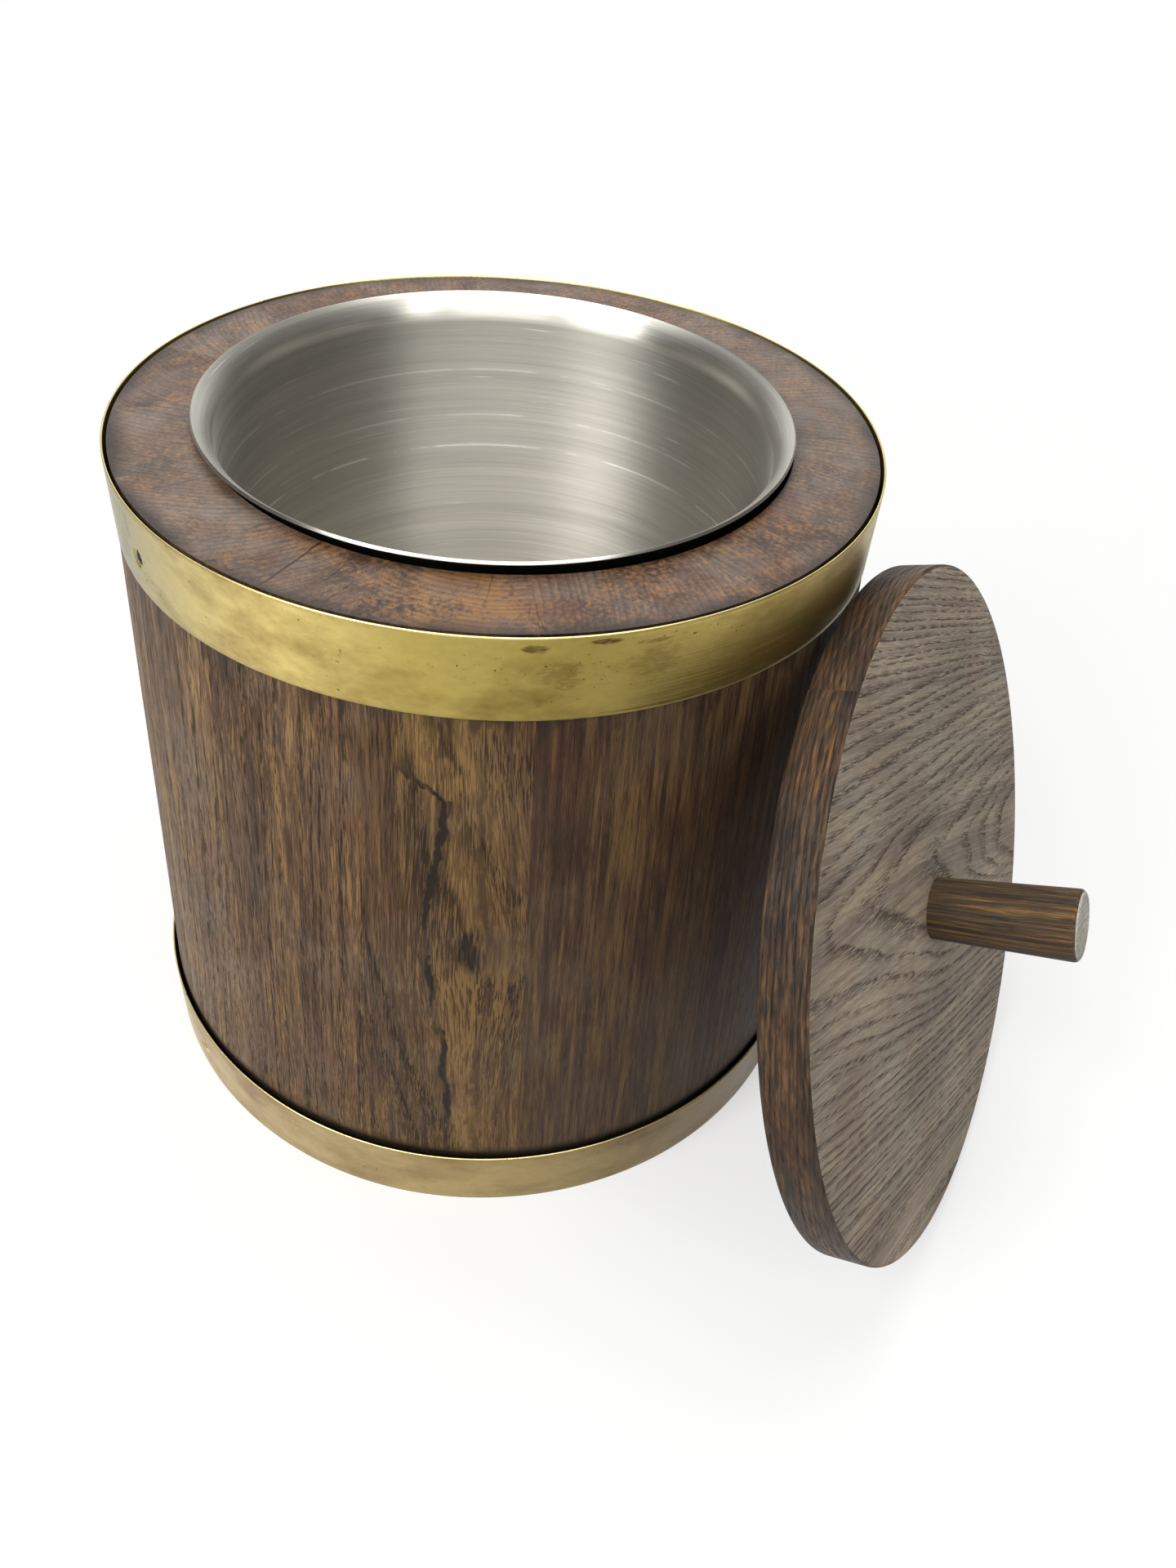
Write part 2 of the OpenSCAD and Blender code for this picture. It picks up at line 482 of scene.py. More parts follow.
@dataclass
class Plank:
    """The piece of log that a wooden piece is cut from.

    Attributes:
        place: Turns plank coordinates, across, through and along the grain, into the row's frame.
        sawing: How it was cut.
        seed: Number that makes its pattern its own.
        wave: How wavy its grain is, 1 for usual.
        light: Lightness against the finish's own, 1 for the same.
        red: Share of the finish's red colour that is mixed in.
        grey: Share of the finish's grey colour that is mixed in.
        heart: How far the heart lies further across, in mm, and the change of its depth along the plank.
        knot: Place of a knot across and along the face, and its width, in mm. No width is no knot.
        streak: A dark mineral line: its place across, how far the knot pushes it aside and its half width,
            in mm.
    """

    place: Matrix
    sawing: Sawing
    seed: float
    wave: float = 1.0
    light: float = 1.0
    red: float = 0.0
    grey: float = 0.0
    heart: tuple[float, float] = (0.0, 0.0)
    knot: tuple[float, float, float] = (0.0, 0.0, 0.0)
    streak: tuple[float, float, float] = (0.0, 0.0, 0.0)

    def mark(self, mesh: bpy.types.Mesh) -> None:
        """Writes the plank's coordinates and character on a mesh, for the wood finishes to read.

        Args:
            mesh: The finished mesh, in the row's frame.
        """
        inverse = self.place.inverted()
        across, behind = self.sawing.value
        marks = {
            "plank": [inverse @ v.co for v in mesh.vertices],
            "pith": (across + self.heart[0], behind, self.heart[1]),
            "tone": (self.light, self.red, self.grey),
            "knot": self.knot,
            "streak": self.streak,
            "seed": (self.seed, self.wave, 0.0),
        }
        for name, mark in marks.items():
            rows = np.broadcast_to(np.array(mark, np.float32), (len(mesh.vertices), 3))
            attribute = mesh.attributes.new(name, "FLOAT_VECTOR", "POINT")
            attribute.data.foreach_set("vector", rows.ravel())


class Grain:
    """The grain of a plank as a wood material reads it from the plank's marks, in mm.

    Attributes:
        tree: The material's tree.
        layers: How many times further a pattern reaches across the plank than through it.
        marks: The marks by name.
        seed: The plank's own number.
        wave: How wavy its grain is.
        place: Place across, through and along the plank.
        row: Place in the row's frame.
        straight: Place across on the wavy grain, before the knot spreads it.
        across: Place across on the grain, which the knot spreads to both sides.
        through: Place through the plank on the grain.
        along: Place along the plank on the grain.
        beside: Distance across from the knot.
        above: Distance along from the knot.
        knot_wide: Width of the knot.
        bent: Place on the grain.
        drawn: Place on the grain, drawn out along it where the grain isn't wavy.
    """

    def __init__(self, tree: bpy.types.NodeTree, layers: float) -> None:
        """Reads the marks and bends the grain.

        Args:
            tree: The material's tree.
            layers: How many times further a pattern reaches across the plank than through it.
        """
        self.tree, self.layers = tree, layers
        self.marks = {name: Value(add(tree, "ShaderNodeAttribute", attribute_name=name).outputs["Vector"])
                      for name in ("plank", "pith", "tone", "knot", "streak", "seed")}
        self.seed, self.wave, _ = self.marks["seed"]
        self.place = self.marks["plank"] * (1 / MM)
        self.row = row_place(tree)
        wavy = self.place + self.wander(45, 260, 9) + self.wander(8, 55, 1.4)
        self.straight, self.through, self.along = wavy
        knot_across, knot_along, self.knot_wide = self.marks["knot"]
        self.beside = self.straight - knot_across
        self.above = self.along - knot_along
        self.across = self.straight - self.beside * self.spot(0, 0, 1, 2.4) * 0.5
        self.bent, self.drawn = (
            Value(add(tree, "ShaderNodeCombineXYZ", {0: self.across, 1: self.through, 2: along}))
            for along in (self.along, self.along * (self.wave * 0.8 + 0.2)))

    def noise(self, wide: float, long: float, detail: float, at: Value) -> bpy.types.Node:
        """Adds the plank's own noise.

        Args:
            wide: Width of its patches.
            long: Their length along the grain.
            detail: How many finer layers lie on them.
            at: Where the noise is read.

        Returns:
            The noise node.
        """
        feed = {"Vector": at * (1 / (wide * self.layers), 1 / wide, 1 / long), "W": self.seed, "Scale": 1.0,
                "Detail": detail}
        return add(self.tree, "ShaderNodeTexNoise", feed, noise_dimensions="4D")

    def cloud(self, wide: float, long: float, detail: float = 2.0, at: Value | None = None) -> Value:
        """The plank's own noise as a number, on the plank or at a place."""
        return Value(self.noise(wide, long, detail, at or self.place))

    def wander(self, wide: float, long: float, reach: float) -> Value:
        """How far wavy grain strays across the plank, at most half a reach, over a width and a length."""
        stray = Value(self.noise(wide, long, 2.0, self.place).outputs["Color"]) - 0.5
        return stray * self.wave * (reach, reach, 0.0)

    def blotch(self, wide: float, shift: float, low: float, high: float) -> Value:
        """Patches that run on from plank to plank, as the stain does, between two levels."""
        return patches(self.row, (wide, wide, wide), low, high, shift=shift)

    def spot(self, beside: float, above: float, wide: float, long: float) -> Value:
        """Makes a soft spot by the knot, in shares of the knot's width.

        Args:
            beside: Its place across from the knot.
            above: Its place along from the knot.
            wide: Its reach across.
            long: Its reach along.

        Returns:
            1 in the middle of the spot, and 0 on a plank without a knot.
        """
        x = (self.beside / self.knot_wide - beside) * (1 / wide)
        y = (self.above / self.knot_wide - above) * (1 / long)
        return work_out("EXPONENT", (x * x + y * y) * -1.0) * work_out("MINIMUM", self.knot_wide, 1.0)


@dataclass(frozen=True)
class WoodFinish:
    """Ring-porous hardwood, stained dark: the stain sits in the open pores and leaves them darkest.

    Attributes:
        name: Name of the material.
        deep: Colour of the darker wood.
        middle: Colour of most of the wood.
        warm: Colour of the lighter, golden wood.
        red: Colour that reddish planks and patches lean to.
        grey: Colour that greyish planks and patches lean to.
        pore: Colour in the pores and on dark lines.
        ring: Width of a year's growth, in mm.
        flat: How much further off the heart of the log lies than on the plank's face.
        layers: How many times further the pattern reaches across the plank than through it, as on cut ends.
        pore_wide: Width of a pore, in mm, drawn about twice its real width so that it shows.
        pore_long: Length of a pore, in mm.
        pore_level: Level of the noise at which a pore starts: the higher, the fewer.
        pore_share: How strongly the pores are stained.
        row_share: How far the pores keep to the rows of the yearly rings.
        ring_share: How strongly the yearly rings are stained.
        patch: Width of the reddish and greyish patches, in mm.
        tone_share: How much of a plank's lightness shows.
        checks: How strongly fine drying cracks through the wood show.
        stain: How strongly the stain gathers at the outer edge.
        edge: Where that edge lies, through the plank, in mm.
        foot: Height up to which the wood is darkened, in mm: painted shadow in the gap above the bottom band.
        band: Height of a band's lower edge, in mm, below which the wood is painted in shade in uneven runs.
        run: How far that painted shade runs down, in mm.
        figure: How strongly a knot and a mineral line show.
        relief: Depth of the brushed grain, in mm.
        rough: Roughness of the wood between the pores.
        gloss: Specular level of its wax or oil.
    """

    name: str
    deep: str
    middle: str
    warm: str
    red: str
    grey: str
    pore: str
    ring: float = 2.6
    flat: float = 1.0
    layers: float = 1.0
    pore_wide: float = 0.4
    pore_long: float = 14.0
    pore_level: float = 0.51
    pore_share: float = 0.85
    row_share: float = 0.5
    ring_share: float = 0.2
    patch: float = 22.0
    tone_share: float = 1.0
    checks: float = 0.0
    stain: float = 0.0
    edge: float = 0.0
    foot: float = 0.0
    band: float = 0.0
    run: float = 26.0
    figure: float = 1.0
    relief: float = 0.25
    rough: float = 0.5
    gloss: float = 0.2

    def rings(self, grain: Grain) -> Value:
        """Works out the yearly rings round the heart of the log.

        Args:
            grain: The plank's grain.

        Returns:
            1 in the open early wood, and near 0 in the dense late wood.
        """
        heart_across, heart_behind, heart_tilt = grain.marks["pith"]
        aside = grain.across - heart_across
        behind = grain.through - (grain.along * heart_tilt + heart_behind * self.flat)
        radius = work_out("SQRT", aside * aside + behind * behind)
        feed = {"W": radius / 7.0, "Scale": 1.0}
        uneven = Value(add(grain.tree, "ShaderNodeTexNoise", feed, noise_dimensions="1D"))
        year = work_out("FRACT", uneven * 2.0 + radius / self.ring)
        stops = ((0.0, 0.1), (0.1, 1.0), (0.3, 0.6), (0.6, 0.05), (1.0, 0.1))
        early, _, _ = Value(add(grain.tree, "ShaderNodeValToRGB", {0: year}, stops))
        return early

    def pores(self, grain: Grain, early: Value) -> Value:
        """Works out the pores, in bundles along the grain and in the rows of the rings.

        Args:
            grain: The plank's grain.
            early: The early wood.

        Returns:
            1 in a pore, and 0 between.
        """
        bundle = grain.cloud(9, 130, 2.0, grain.bent) * 0.3 - 0.15
        pores = grain.cloud(self.pore_wide, self.pore_long, 3.0, grain.drawn) + bundle
        pores = pores.spread(self.pore_level, self.pore_level + 0.07)
        in_rows = early * self.row_share + (1 - self.row_share)
        return pores * in_rows * (grain.wave * 0.75 + 0.25)

    def knot(self, grain: Grain) -> Value:
        """The knot's bundle of dark fibres, and a dusky patch beside it."""
        eye = (grain.cloud(0.8, 7, 3.0) * 2.6 * grain.spot(0, 0, 0.42, 0.9)).spread(0.7, 1.15)
        return work_out("MAXIMUM", eye, grain.spot(0.4, 0, 0.32, 0.65) * 0.4)

    def streak(self, grain: Grain) -> tuple[Value, Value]:
        """Works out a dark mineral line that bends round the knot and turns aside above it, and its twin.

        Args:
            grain: The plank's grain.

        Returns:
            How dark the two lines are, and how golden the wood is between them and below the knot.
        """
        line_across, push, wide = grain.marks["streak"]
        has_streak = work_out("MINIMUM", wide * 4.0, 1.0)
        share = grain.above / 30.0
        bulge = work_out("EXPONENT", share * share * -1.0) * push
        torn = (grain.cloud(7, 16) - 0.5) * 7.0 + (grain.cloud(1.6, 3.4, 3.0) - 0.5) * 3.4
        torn = grain.straight + torn - line_across
        off_line = torn - bulge + grain.above.spread(47.0, 55.0, 0.0, 9.0)
        off_twin = torn + bulge * 0.35 - 8.0
        line = (wide - work_out("ABSOLUTE", off_line)).spread(-0.5, 0.2)
        twin = (wide - work_out("ABSOLUTE", off_twin)).spread(-0.6, 0.6, 0.0, 0.65)
        broken = grain.cloud(3, 12, 3.0).spread(0.36, 0.5, 0.3) * grain.above.spread(52.0, 62.0, 1.0, 0.25)
        golden = off_line.spread(0.0, 3.0) * off_twin.spread(7.0, 1.0, 0.4) * has_streak
        golden = golden + grain.spot(-0.4, -1.2, 0.45, 2.0) * 1.1
        return work_out("MAXIMUM", line, twin) * broken * has_streak, golden

    def ground(self, grain: Grain, early: Value, fibre: Value, golden: Value) -> Value:
        """Colours the wood between the pores, from fine fibres to broad streaks and patches.

        Args:
            grain: The plank's grain.
            early: The early wood.
            fibre: The fine fibres.
            golden: How golden the wood is by the knot.

        Returns:
            The colour.
        """
        strand = (grain.cloud(1.15, 90, 2.0, grain.drawn) - 0.5) * (grain.wave * -0.4 + 1.8) + 0.5
        broad = grain.cloud(7, 240, 3.0, grain.bent)
        level = fibre * 0.35 + strand * 0.45 + broad * 0.55 + golden * 0.12
        stops = ((0.57, self.deep), (0.68, self.middle), (0.81, self.warm))
        ground = Value(add(grain.tree, "ShaderNodeValToRGB", {0: level}, stops))
        light, red, grey = grain.marks["tone"]
        for share, colour, shift in ((red, self.red, 3.0), (grey, self.grey, 17.0)):
            tinted = grain.blotch(self.patch, shift, 0.45, 0.7) * 0.45 + share
            ground = tinted.blend(ground, linear(colour))
        shade = (light - 1.0) * self.tone_share + 1.0
        shade = shade * grain.blotch(self.patch * 1.7, 29.0, 0.3, 0.7).spread(0.0, 1.0, 0.8, 1.15)
        return (early * self.ring_share).blend(ground * shade, linear(self.pore))

    def cracks(self, grain: Grain) -> Value:
        """Works out fine drying cracks through the wood.

        Args:
            grain: The plank's grain.

        Returns:
            How dark the cracks are.
        """
        feed = {"W": grain.across * 0.06 + grain.seed, "Scale": 1.0}
        uneven = Value(add(grain.tree, "ShaderNodeTexNoise", feed, noise_dimensions="1D"))
        step = work_out("FRACT", grain.across * 0.13 + uneven * 3.0)
        feed = {"Vector": grain.place * (1 / 4, 1 / 24, 0.0), "W": grain.seed, "Scale": 1.0, "Detail": 1.0}
        shown = Value(add(grain.tree, "ShaderNodeTexNoise", feed, noise_dimensions="4D"))
        crack = work_out("ABSOLUTE", step - 0.5).spread(0.03, 0.01)
        return crack * shown.spread(0.52, 0.6, 0.0, self.checks)

    def stains_and_painted_shade(self, grain: Grain) -> list[Value]:
        """Works out the dark places that this finish has besides its pores and figure, painted shade by the
        bands among them.

        Args:
            grain: The plank's grain.

        Returns:
            How dark each kind is.
        """
        stains_and_painted_shade = []
        if self.checks:
            stains_and_painted_shade.append(self.cracks(grain))
        if self.stain:
            edge = grain.cloud(9, 9) * 4.0 + grain.through
            stains_and_painted_shade.append(edge.spread(self.edge - 2.5, self.edge + 2.0, 0.0, self.stain))
        # Painted shade under a band's lower edge, in uneven runs.
        if self.band:
            fall = 0.35 / self.run
            run = grain.along * fall + grain.cloud(5, 16, 5.0)
            stains_and_painted_shade.append(run.spread(fall * self.band + 0.46, fall * self.band + 0.56, 0.0, 0.7))
        # Painted shadow in the gap above the bottom band.
        if self.foot:
            stains_and_painted_shade.append(grain.along.spread(self.foot + 2, self.foot - 1.5))
        return stains_and_painted_shade

    def material(self) -> bpy.types.Material:
        """Builds the material from the marks that Plank writes.

        Returns:
            The material.
        """
        material, tree = new_material(self.name)
        grain = Grain(tree, self.layers)
        early = self.rings(grain)
        pores = self.pores(grain, early)
        fibre = grain.cloud(self.pore_wide * 0.8, self.pore_long * 2, 2.0, grain.bent)
        lines, golden = self.streak(grain)
        figure = work_out("MAXIMUM", lines, self.knot(grain)) * (0.97 * self.figure)
        dark = work_out("MAXIMUM", pores * self.pore_share, figure)
        for stain in self.stains_and_painted_shade(grain):
            dark = work_out("MAXIMUM", dark, stain)
        height = fibre * 0.5 - early * 0.35 - dark
        brushed = {"Height": height, "Distance": self.relief * MM, "Strength": 0.8}
        coat(tree, {
            "Base Color": dark.blend(self.ground(grain, early, fibre, golden), linear(self.pore)),
            "Roughness": pores * 0.2 + self.rough,
            "Specular IOR Level": self.gloss,
            "Normal": add(tree, "ShaderNodeBump", brushed),
        })
        return material


# Elm turned and stained: dark pores along brown wood, with golden wood by the knot, and painted shade above
# the bottom band and below the top band.
STAVE_WOOD = WoodFinish(
    "stained_elm_turned", deep="#49321f", middle="#735639", warm="#a07d4d", red="#6e4634", grey="#816e5a",
    pore="#1a120b", pore_wide=0.25, pore_long=13.0, pore_level=0.495, foot=24.0, band=178.7)
# The same wood inside the foot, without the painted shade by the bands.
BASE_WOOD = replace(STAVE_WOOD, name="stained_elm_sawn", foot=0.0, band=0.0)
# The same wood across its grain, oiled: redder, closer and with a satin shine.
RING_WOOD = WoodFinish(
    "stained_elm_end_oiled", deep="#38261a", middle="#624934", warm="#936a3f", red="#6b4029", grey="#7e7268",
    pore="#1c110a", ring=1.7, figure=0.0, pore_share=0.2, row_share=0.3, ring_share=0.38, patch=13.0,
    tone_share=0.2, checks=0.85, stain=0.9, edge=-5.4, relief=0.1, rough=0.42, gloss=0.5)
# The lid's faces, brushed along the grain and left greyer and matt: pores in rows.
LID_WOOD = WoodFinish(
    "stained_elm_brushed", deep="#857568", middle="#a79784", warm="#bba98f", red="#997f6e", grey="#a69e8e",
    pore="#382e25", ring=1.9, pore_wide=0.31, pore_long=4.8, pore_level=0.47, pore_share=0.84, row_share=0.85,
    ring_share=0.14, figure=0.36, relief=0.35, rough=0.6)
# The lid's rim, sanded: darker and redder, as cut grain takes more stain, with the rings along it.
RIM_WOOD = WoodFinish(
    "stained_elm_sanded_rim", deep="#2e241b", middle="#4e3c2c", warm="#7a5939", red="#60422c", grey="#463e37",
    pore="#18120d", ring=1.4, flat=8.0, layers=9.0, pore_wide=0.45, pore_long=18.0, pore_share=0.6,
    ring_share=0.6, patch=24.0)
# The peg's side, handled: golden over dark.
PEG_WOOD = WoodFinish(
    "stained_elm_peg", deep="#31271d", middle="#50402e", warm="#8c6a3d", red="#4a3422", grey="#4a4238",
    pore="#191209", ring=2.2, pore_wide=0.3, pore_long=12.0, pore_share=0.55, patch=9.0)
# The peg's sawn end, left bare: pale grey.
PEG_END_WOOD = WoodFinish(
    "elm_sawn_end_bare", deep="#b4b0a4", middle="#cecabe", warm="#dcd8ca", red="#b0a090", grey="#c0bcb2",
    pore="#5a5148", ring=1.6, pore_share=0.4, ring_share=0.3, patch=7.0, checks=1.0, rough=0.65)


@dataclass(frozen=True)
class BrassFinish:
    """Sheet brass, rolled and long handled: yellow metal with brown tarnish, specks and fine rubbing.

    Attributes:
        name: Name of the material.
        bright: Colour of the rubbed metal.
        dull: Colour of the tarnished metal.
        stain: Colour of the dark specks.
        tarnish: Share of the metal that is tarnished.
        seed: Number that makes its clouds its own.
        shade: Colour laid over the metal at bearings from 0, the back, through 0.5, the front, to 1, the back
        again: painted reflection and shade of the room, bright and bluish at the front left, darker at the
        front and right.
        marks: Dark marks: place along the band from the front and height, half length and half height, in mm,
            and strength.
        radian: Length of band that makes one radian, in mm.
    """

    name: str
    bright: str
    dull: str
    stain: str
    tarnish: float
    seed: float
    shade: tuple[tuple[float, str], ...]
    marks: tuple[tuple[float, float, float, float, float], ...] = ()
    radian: float = 105.0

    def cloud(self, place: Value, wide: float, high: float, detail: float, low: float, top: float) -> Value:
        """Patches on the sheet, in mm, spread between two levels of noise."""
        return patches(place, (wide, wide, high), low, top, detail, self.seed, roughness=0.6)

    def specks(self, place: Value, bearing: Value) -> Value:
        """Works out the dark specks and marks.

        Args:
            place: The place in the row's frame, in mm.
            bearing: The bearing from the front, in radians.

        Returns:
            How dark they are.
        """
        specks = self.cloud(place, 1.5, 0.9, 2.0, 0.66, 0.74) * self.cloud(place, 30, 9, 2.0, 0.5, 0.6)
        torn = self.cloud(place, 2.2, 0.7, 4.0, 0.25, 0.75) * 1.6 - 0.8
        along = bearing * self.radian
        _, _, height = place
        for mark_along, mark_height, half_long, half_high, strength in self.marks:
            aside = (along - mark_along) / half_long
            above = (height - mark_height) / half_high
            off = aside * aside + above * above + torn
            specks = work_out("MAXIMUM", specks, off.spread(1.0, 0.1, 0.0, strength))
        return specks

    def material(self) -> bpy.types.Material:
        """Builds the material on coordinates that run round the band.

        Returns:
            The material.
        """
        material, tree = new_material(self.name)
        place = row_place(tree)
        x, y, _ = place
        bearing = work_out("ARCTAN2", x, y * -1.0)
        tarnish = self.cloud(place, 34, 16, 5.0, 0.62 - 0.3 * self.tarnish, 0.75)
        mottle = self.cloud(place, 2.6, 1.7, 4.0, 0.35, 0.7)
        rubbed = self.cloud(place, 14, 0.35, 2.0, 0.3, 0.7)
        # Painted reflection and shade: a colour by bearing laid over the brass.
        painted_reflection = Value(add(tree, "ShaderNodeValToRGB", {0: bearing * (0.5 / math.pi) + 0.5}, self.shade))
        colour = (mottle * 0.16 + tarnish * 0.8).blend(linear(self.bright), linear(self.dull)) * painted_reflection
        coat(tree, {
            "Base Color": self.specks(place, bearing).blend(colour, linear(self.stain)),
            "Metallic": 1.0,
            "Roughness": rubbed * 0.1 + tarnish * 0.12 + 0.3,
            "Normal": add(tree, "ShaderNodeBump", {"Height": rubbed, "Distance": 0.02 * MM, "Strength": 0.4}),
        })
        return material


# The shade stops of both bands paint reflection and shade round the band.
TOP_BRASS = BrassFinish(
    "sheet_brass_top", bright="#efd98c", dull="#9c8044", stain="#4a3418", tarnish=0.45, seed=4.0,
    shade=((0.0, "#e0e0e0"), (0.33, "#a8aecc"), (0.42, WHITE), (0.47, "#c6c4ac"), (0.53, "#a4a08a"),
           (0.575, "#c8c4b4"), (0.66, "#aeaaa2"), (0.85, "#e0e0e0")),
    marks=((7.9, 197.5, 3.6, 1.1, 0.8), (23.8, 198.5, 4.0, 0.8, 0.9), (35.2, 197.0, 4.5, 0.6, 0.5),
           (14.4, 190.5, 6.0, 4.0, 0.4), (36.0, 192.0, 7.0, 5.0, 0.3), (-107.0, 194.5, 2.0, 5.0, 0.35)))
BOTTOM_BRASS = BrassFinish(
    "sheet_brass_bottom", bright="#d4b984", dull="#937550", stain="#543c22", tarnish=0.7, seed=9.0,
    shade=((0.0, "#e0e0e0"), (0.36, "#f4f8fc"), (0.5, "#ced0c4"), (0.6, "#8c8880"), (0.7, "#807c76"),
           (0.85, "#e0e0e0")))
# The cut edge of the sheet, rubbed bare: a pale bright line.
EDGE_BRASS = BrassFinish(
    "sheet_brass_edge_rubbed", bright="#f6e4a2", dull="#d8c37c", stain="#4a3418", tarnish=0.2, seed=6.0,
    shade=((0.0, WHITE), (1.0, WHITE)))


@dataclass(frozen=True)
class SteelFinish:
    """Stainless steel, brushed round: fine level scratches draw its reflections out upright.

    Attributes:
        name: Name of the material.
        colour: Colour of the steel.
        rough: Mean roughness of the wall.
        lip_rough: Roughness of the polished lip.
        stretch: How far its reflections are drawn out across the scratches.
        painted_shade_under_lip: Lightness of the wall under the lip, against that of the steel: painted
            shade.
        on_lip: Lightness of the lip, against that of the steel.
        painted_light_low_wall: Lightness of the lower wall against the steel's: painted floor reflection.
        low_z: Height up to which that lower part reaches, in mm.
        floor_z: Height below which no bright scratches run, in mm, because they would lie on the floor.
        rings: Heights of scratches that run all round, in mm, and how bright they are.
    """

    name: str
    colour: str
    rough: float
    lip_rough: float
    stretch: float
    painted_shade_under_lip: float = 1.0
    on_lip: float = 1.0
    painted_light_low_wall: float = 1.05
    low_z: float = 60.0
    floor_z: float = 32.0
    rings: tuple[tuple[float, float], ...] = ()

    def scratches(self, place: Value) -> Value:
        """Works out the bright scratches.

        Args:
            place: The place in the row's frame, in mm.

        Returns:
            How bright they are.
        """
        _, _, z = place
        bright = patches(place, (22.0, 22.0, 0.4), 0.66, 0.74)
        broken = patches(place, (16.0, 16.0, 40.0), 0.47, 0.56)
        for height, strength in self.rings:
            ring = work_out("ABSOLUTE", z - height).spread(0.45, 0.15, 0.0, strength)
            bright = work_out("MAXIMUM", bright, ring * broken)
        return bright * z.spread(self.floor_z, self.floor_z + 4.0)

    def material(self, lip_z: float) -> bpy.types.Material:
        """Builds the material on coordinates that run round the wall.

        Args:
            lip_z: Height at which the lip starts, in metres.

        Returns:
            The material.
        """
        material, tree = new_material(self.name)
        place = row_place(tree)
        _, _, z = place
        lip_mm = lip_z / MM
        lip = z.spread(lip_mm - 1, lip_mm + 1)
        brushing = patches(place, (50.0, 50.0, 0.5), 0.3, 0.7)
        sweep = patches(place, (90.0, 90.0, 2.5), 0.3, 0.7)
        # Painted light and shade in the steel's colour: darker up the wall under the lip, lighter low down.
        wall = z.spread(self.low_z, lip_mm, self.painted_light_low_wall, self.painted_shade_under_lip)
        wall = wall + lip * (self.on_lip - wall)
        shade = (sweep * 0.45 + brushing * 0.55).spread(0.0, 1.0, 0.74, 1.08) * wall
        rough = brushing * 0.12 + (self.rough - 0.06)
        scored = {"Height": brushing, "Distance": 0.015 * MM, "Strength": 0.4}
        coat(tree, {
            "Base Color": (self.scratches(place) * 0.6).blend(shade * linear(self.colour), linear(WHITE)),
            "Metallic": 1.0,
            "Roughness": rough + lip * (self.lip_rough - rough),
            "Anisotropic": self.stretch,
            "Anisotropic Rotation": 0.25,
            "Tangent": add(tree, "ShaderNodeTangent", direction_type="RADIAL", axis="Z"),
            "Normal": add(tree, "ShaderNodeBump", scored),
        })
        return material


# The inside, brushed bright: upright light bands on a grey wall.
LINER_STEEL = SteelFinish(
    "stainless_brushed_round", colour="#efebdf", rough=0.6, lip_rough=0.36, stretch=0.92, painted_shade_under_lip=0.6,
    on_lip=0.78, rings=((155.5, 1.0), (166.0, 0.5), (181.0, 0.5)))
# The outside: a darker grey, painted shade that stands in for the dark reflections under the lip.
SHADED_OUTSIDE_STEEL = SteelFinish("stainless_outside_painted_shade", colour="#6e6d69", rough=0.36, lip_rough=0.3, stretch=0.3)


@dataclass(frozen=True)
class NailFinish:
    """Iron wire nail, hammered and browned with age: dark, with a few worn bright spots on its head.

    Attributes:
        name: Name of the material.
        dark: Colour of the browned iron.
        worn: Colour of the worn spots.
        spot: Size of the spots, in mm.
        metallic: How far the iron shows through its brown.
        rough: Roughness of the brown.
    """

    name: str
    dark: str
    worn: str
    spot: float = 1.2
    metallic: float = 0.5
    rough: float = 0.7

    def material(self) -> bpy.types.Material:
        """Builds the material on object coordinates.

        Returns:
            The material.
        """
        material, tree = new_material(self.name)
        feed = {"Vector": row_place(tree), "Scale": 1 / self.spot, "Detail": 3.0}
        noise = add(tree, "ShaderNodeTexNoise", feed)
        colour = add(tree, "ShaderNodeValToRGB", {0: noise}, ((0.45, self.dark), (0.7, self.worn)))
        coat(tree, {"Base Color": colour, "Metallic": self.metallic, "Roughness": self.rough})
        return material


NAIL_IRON = NailFinish("iron_nail_browned", dark="#1e1812", worn="#5a4c36")


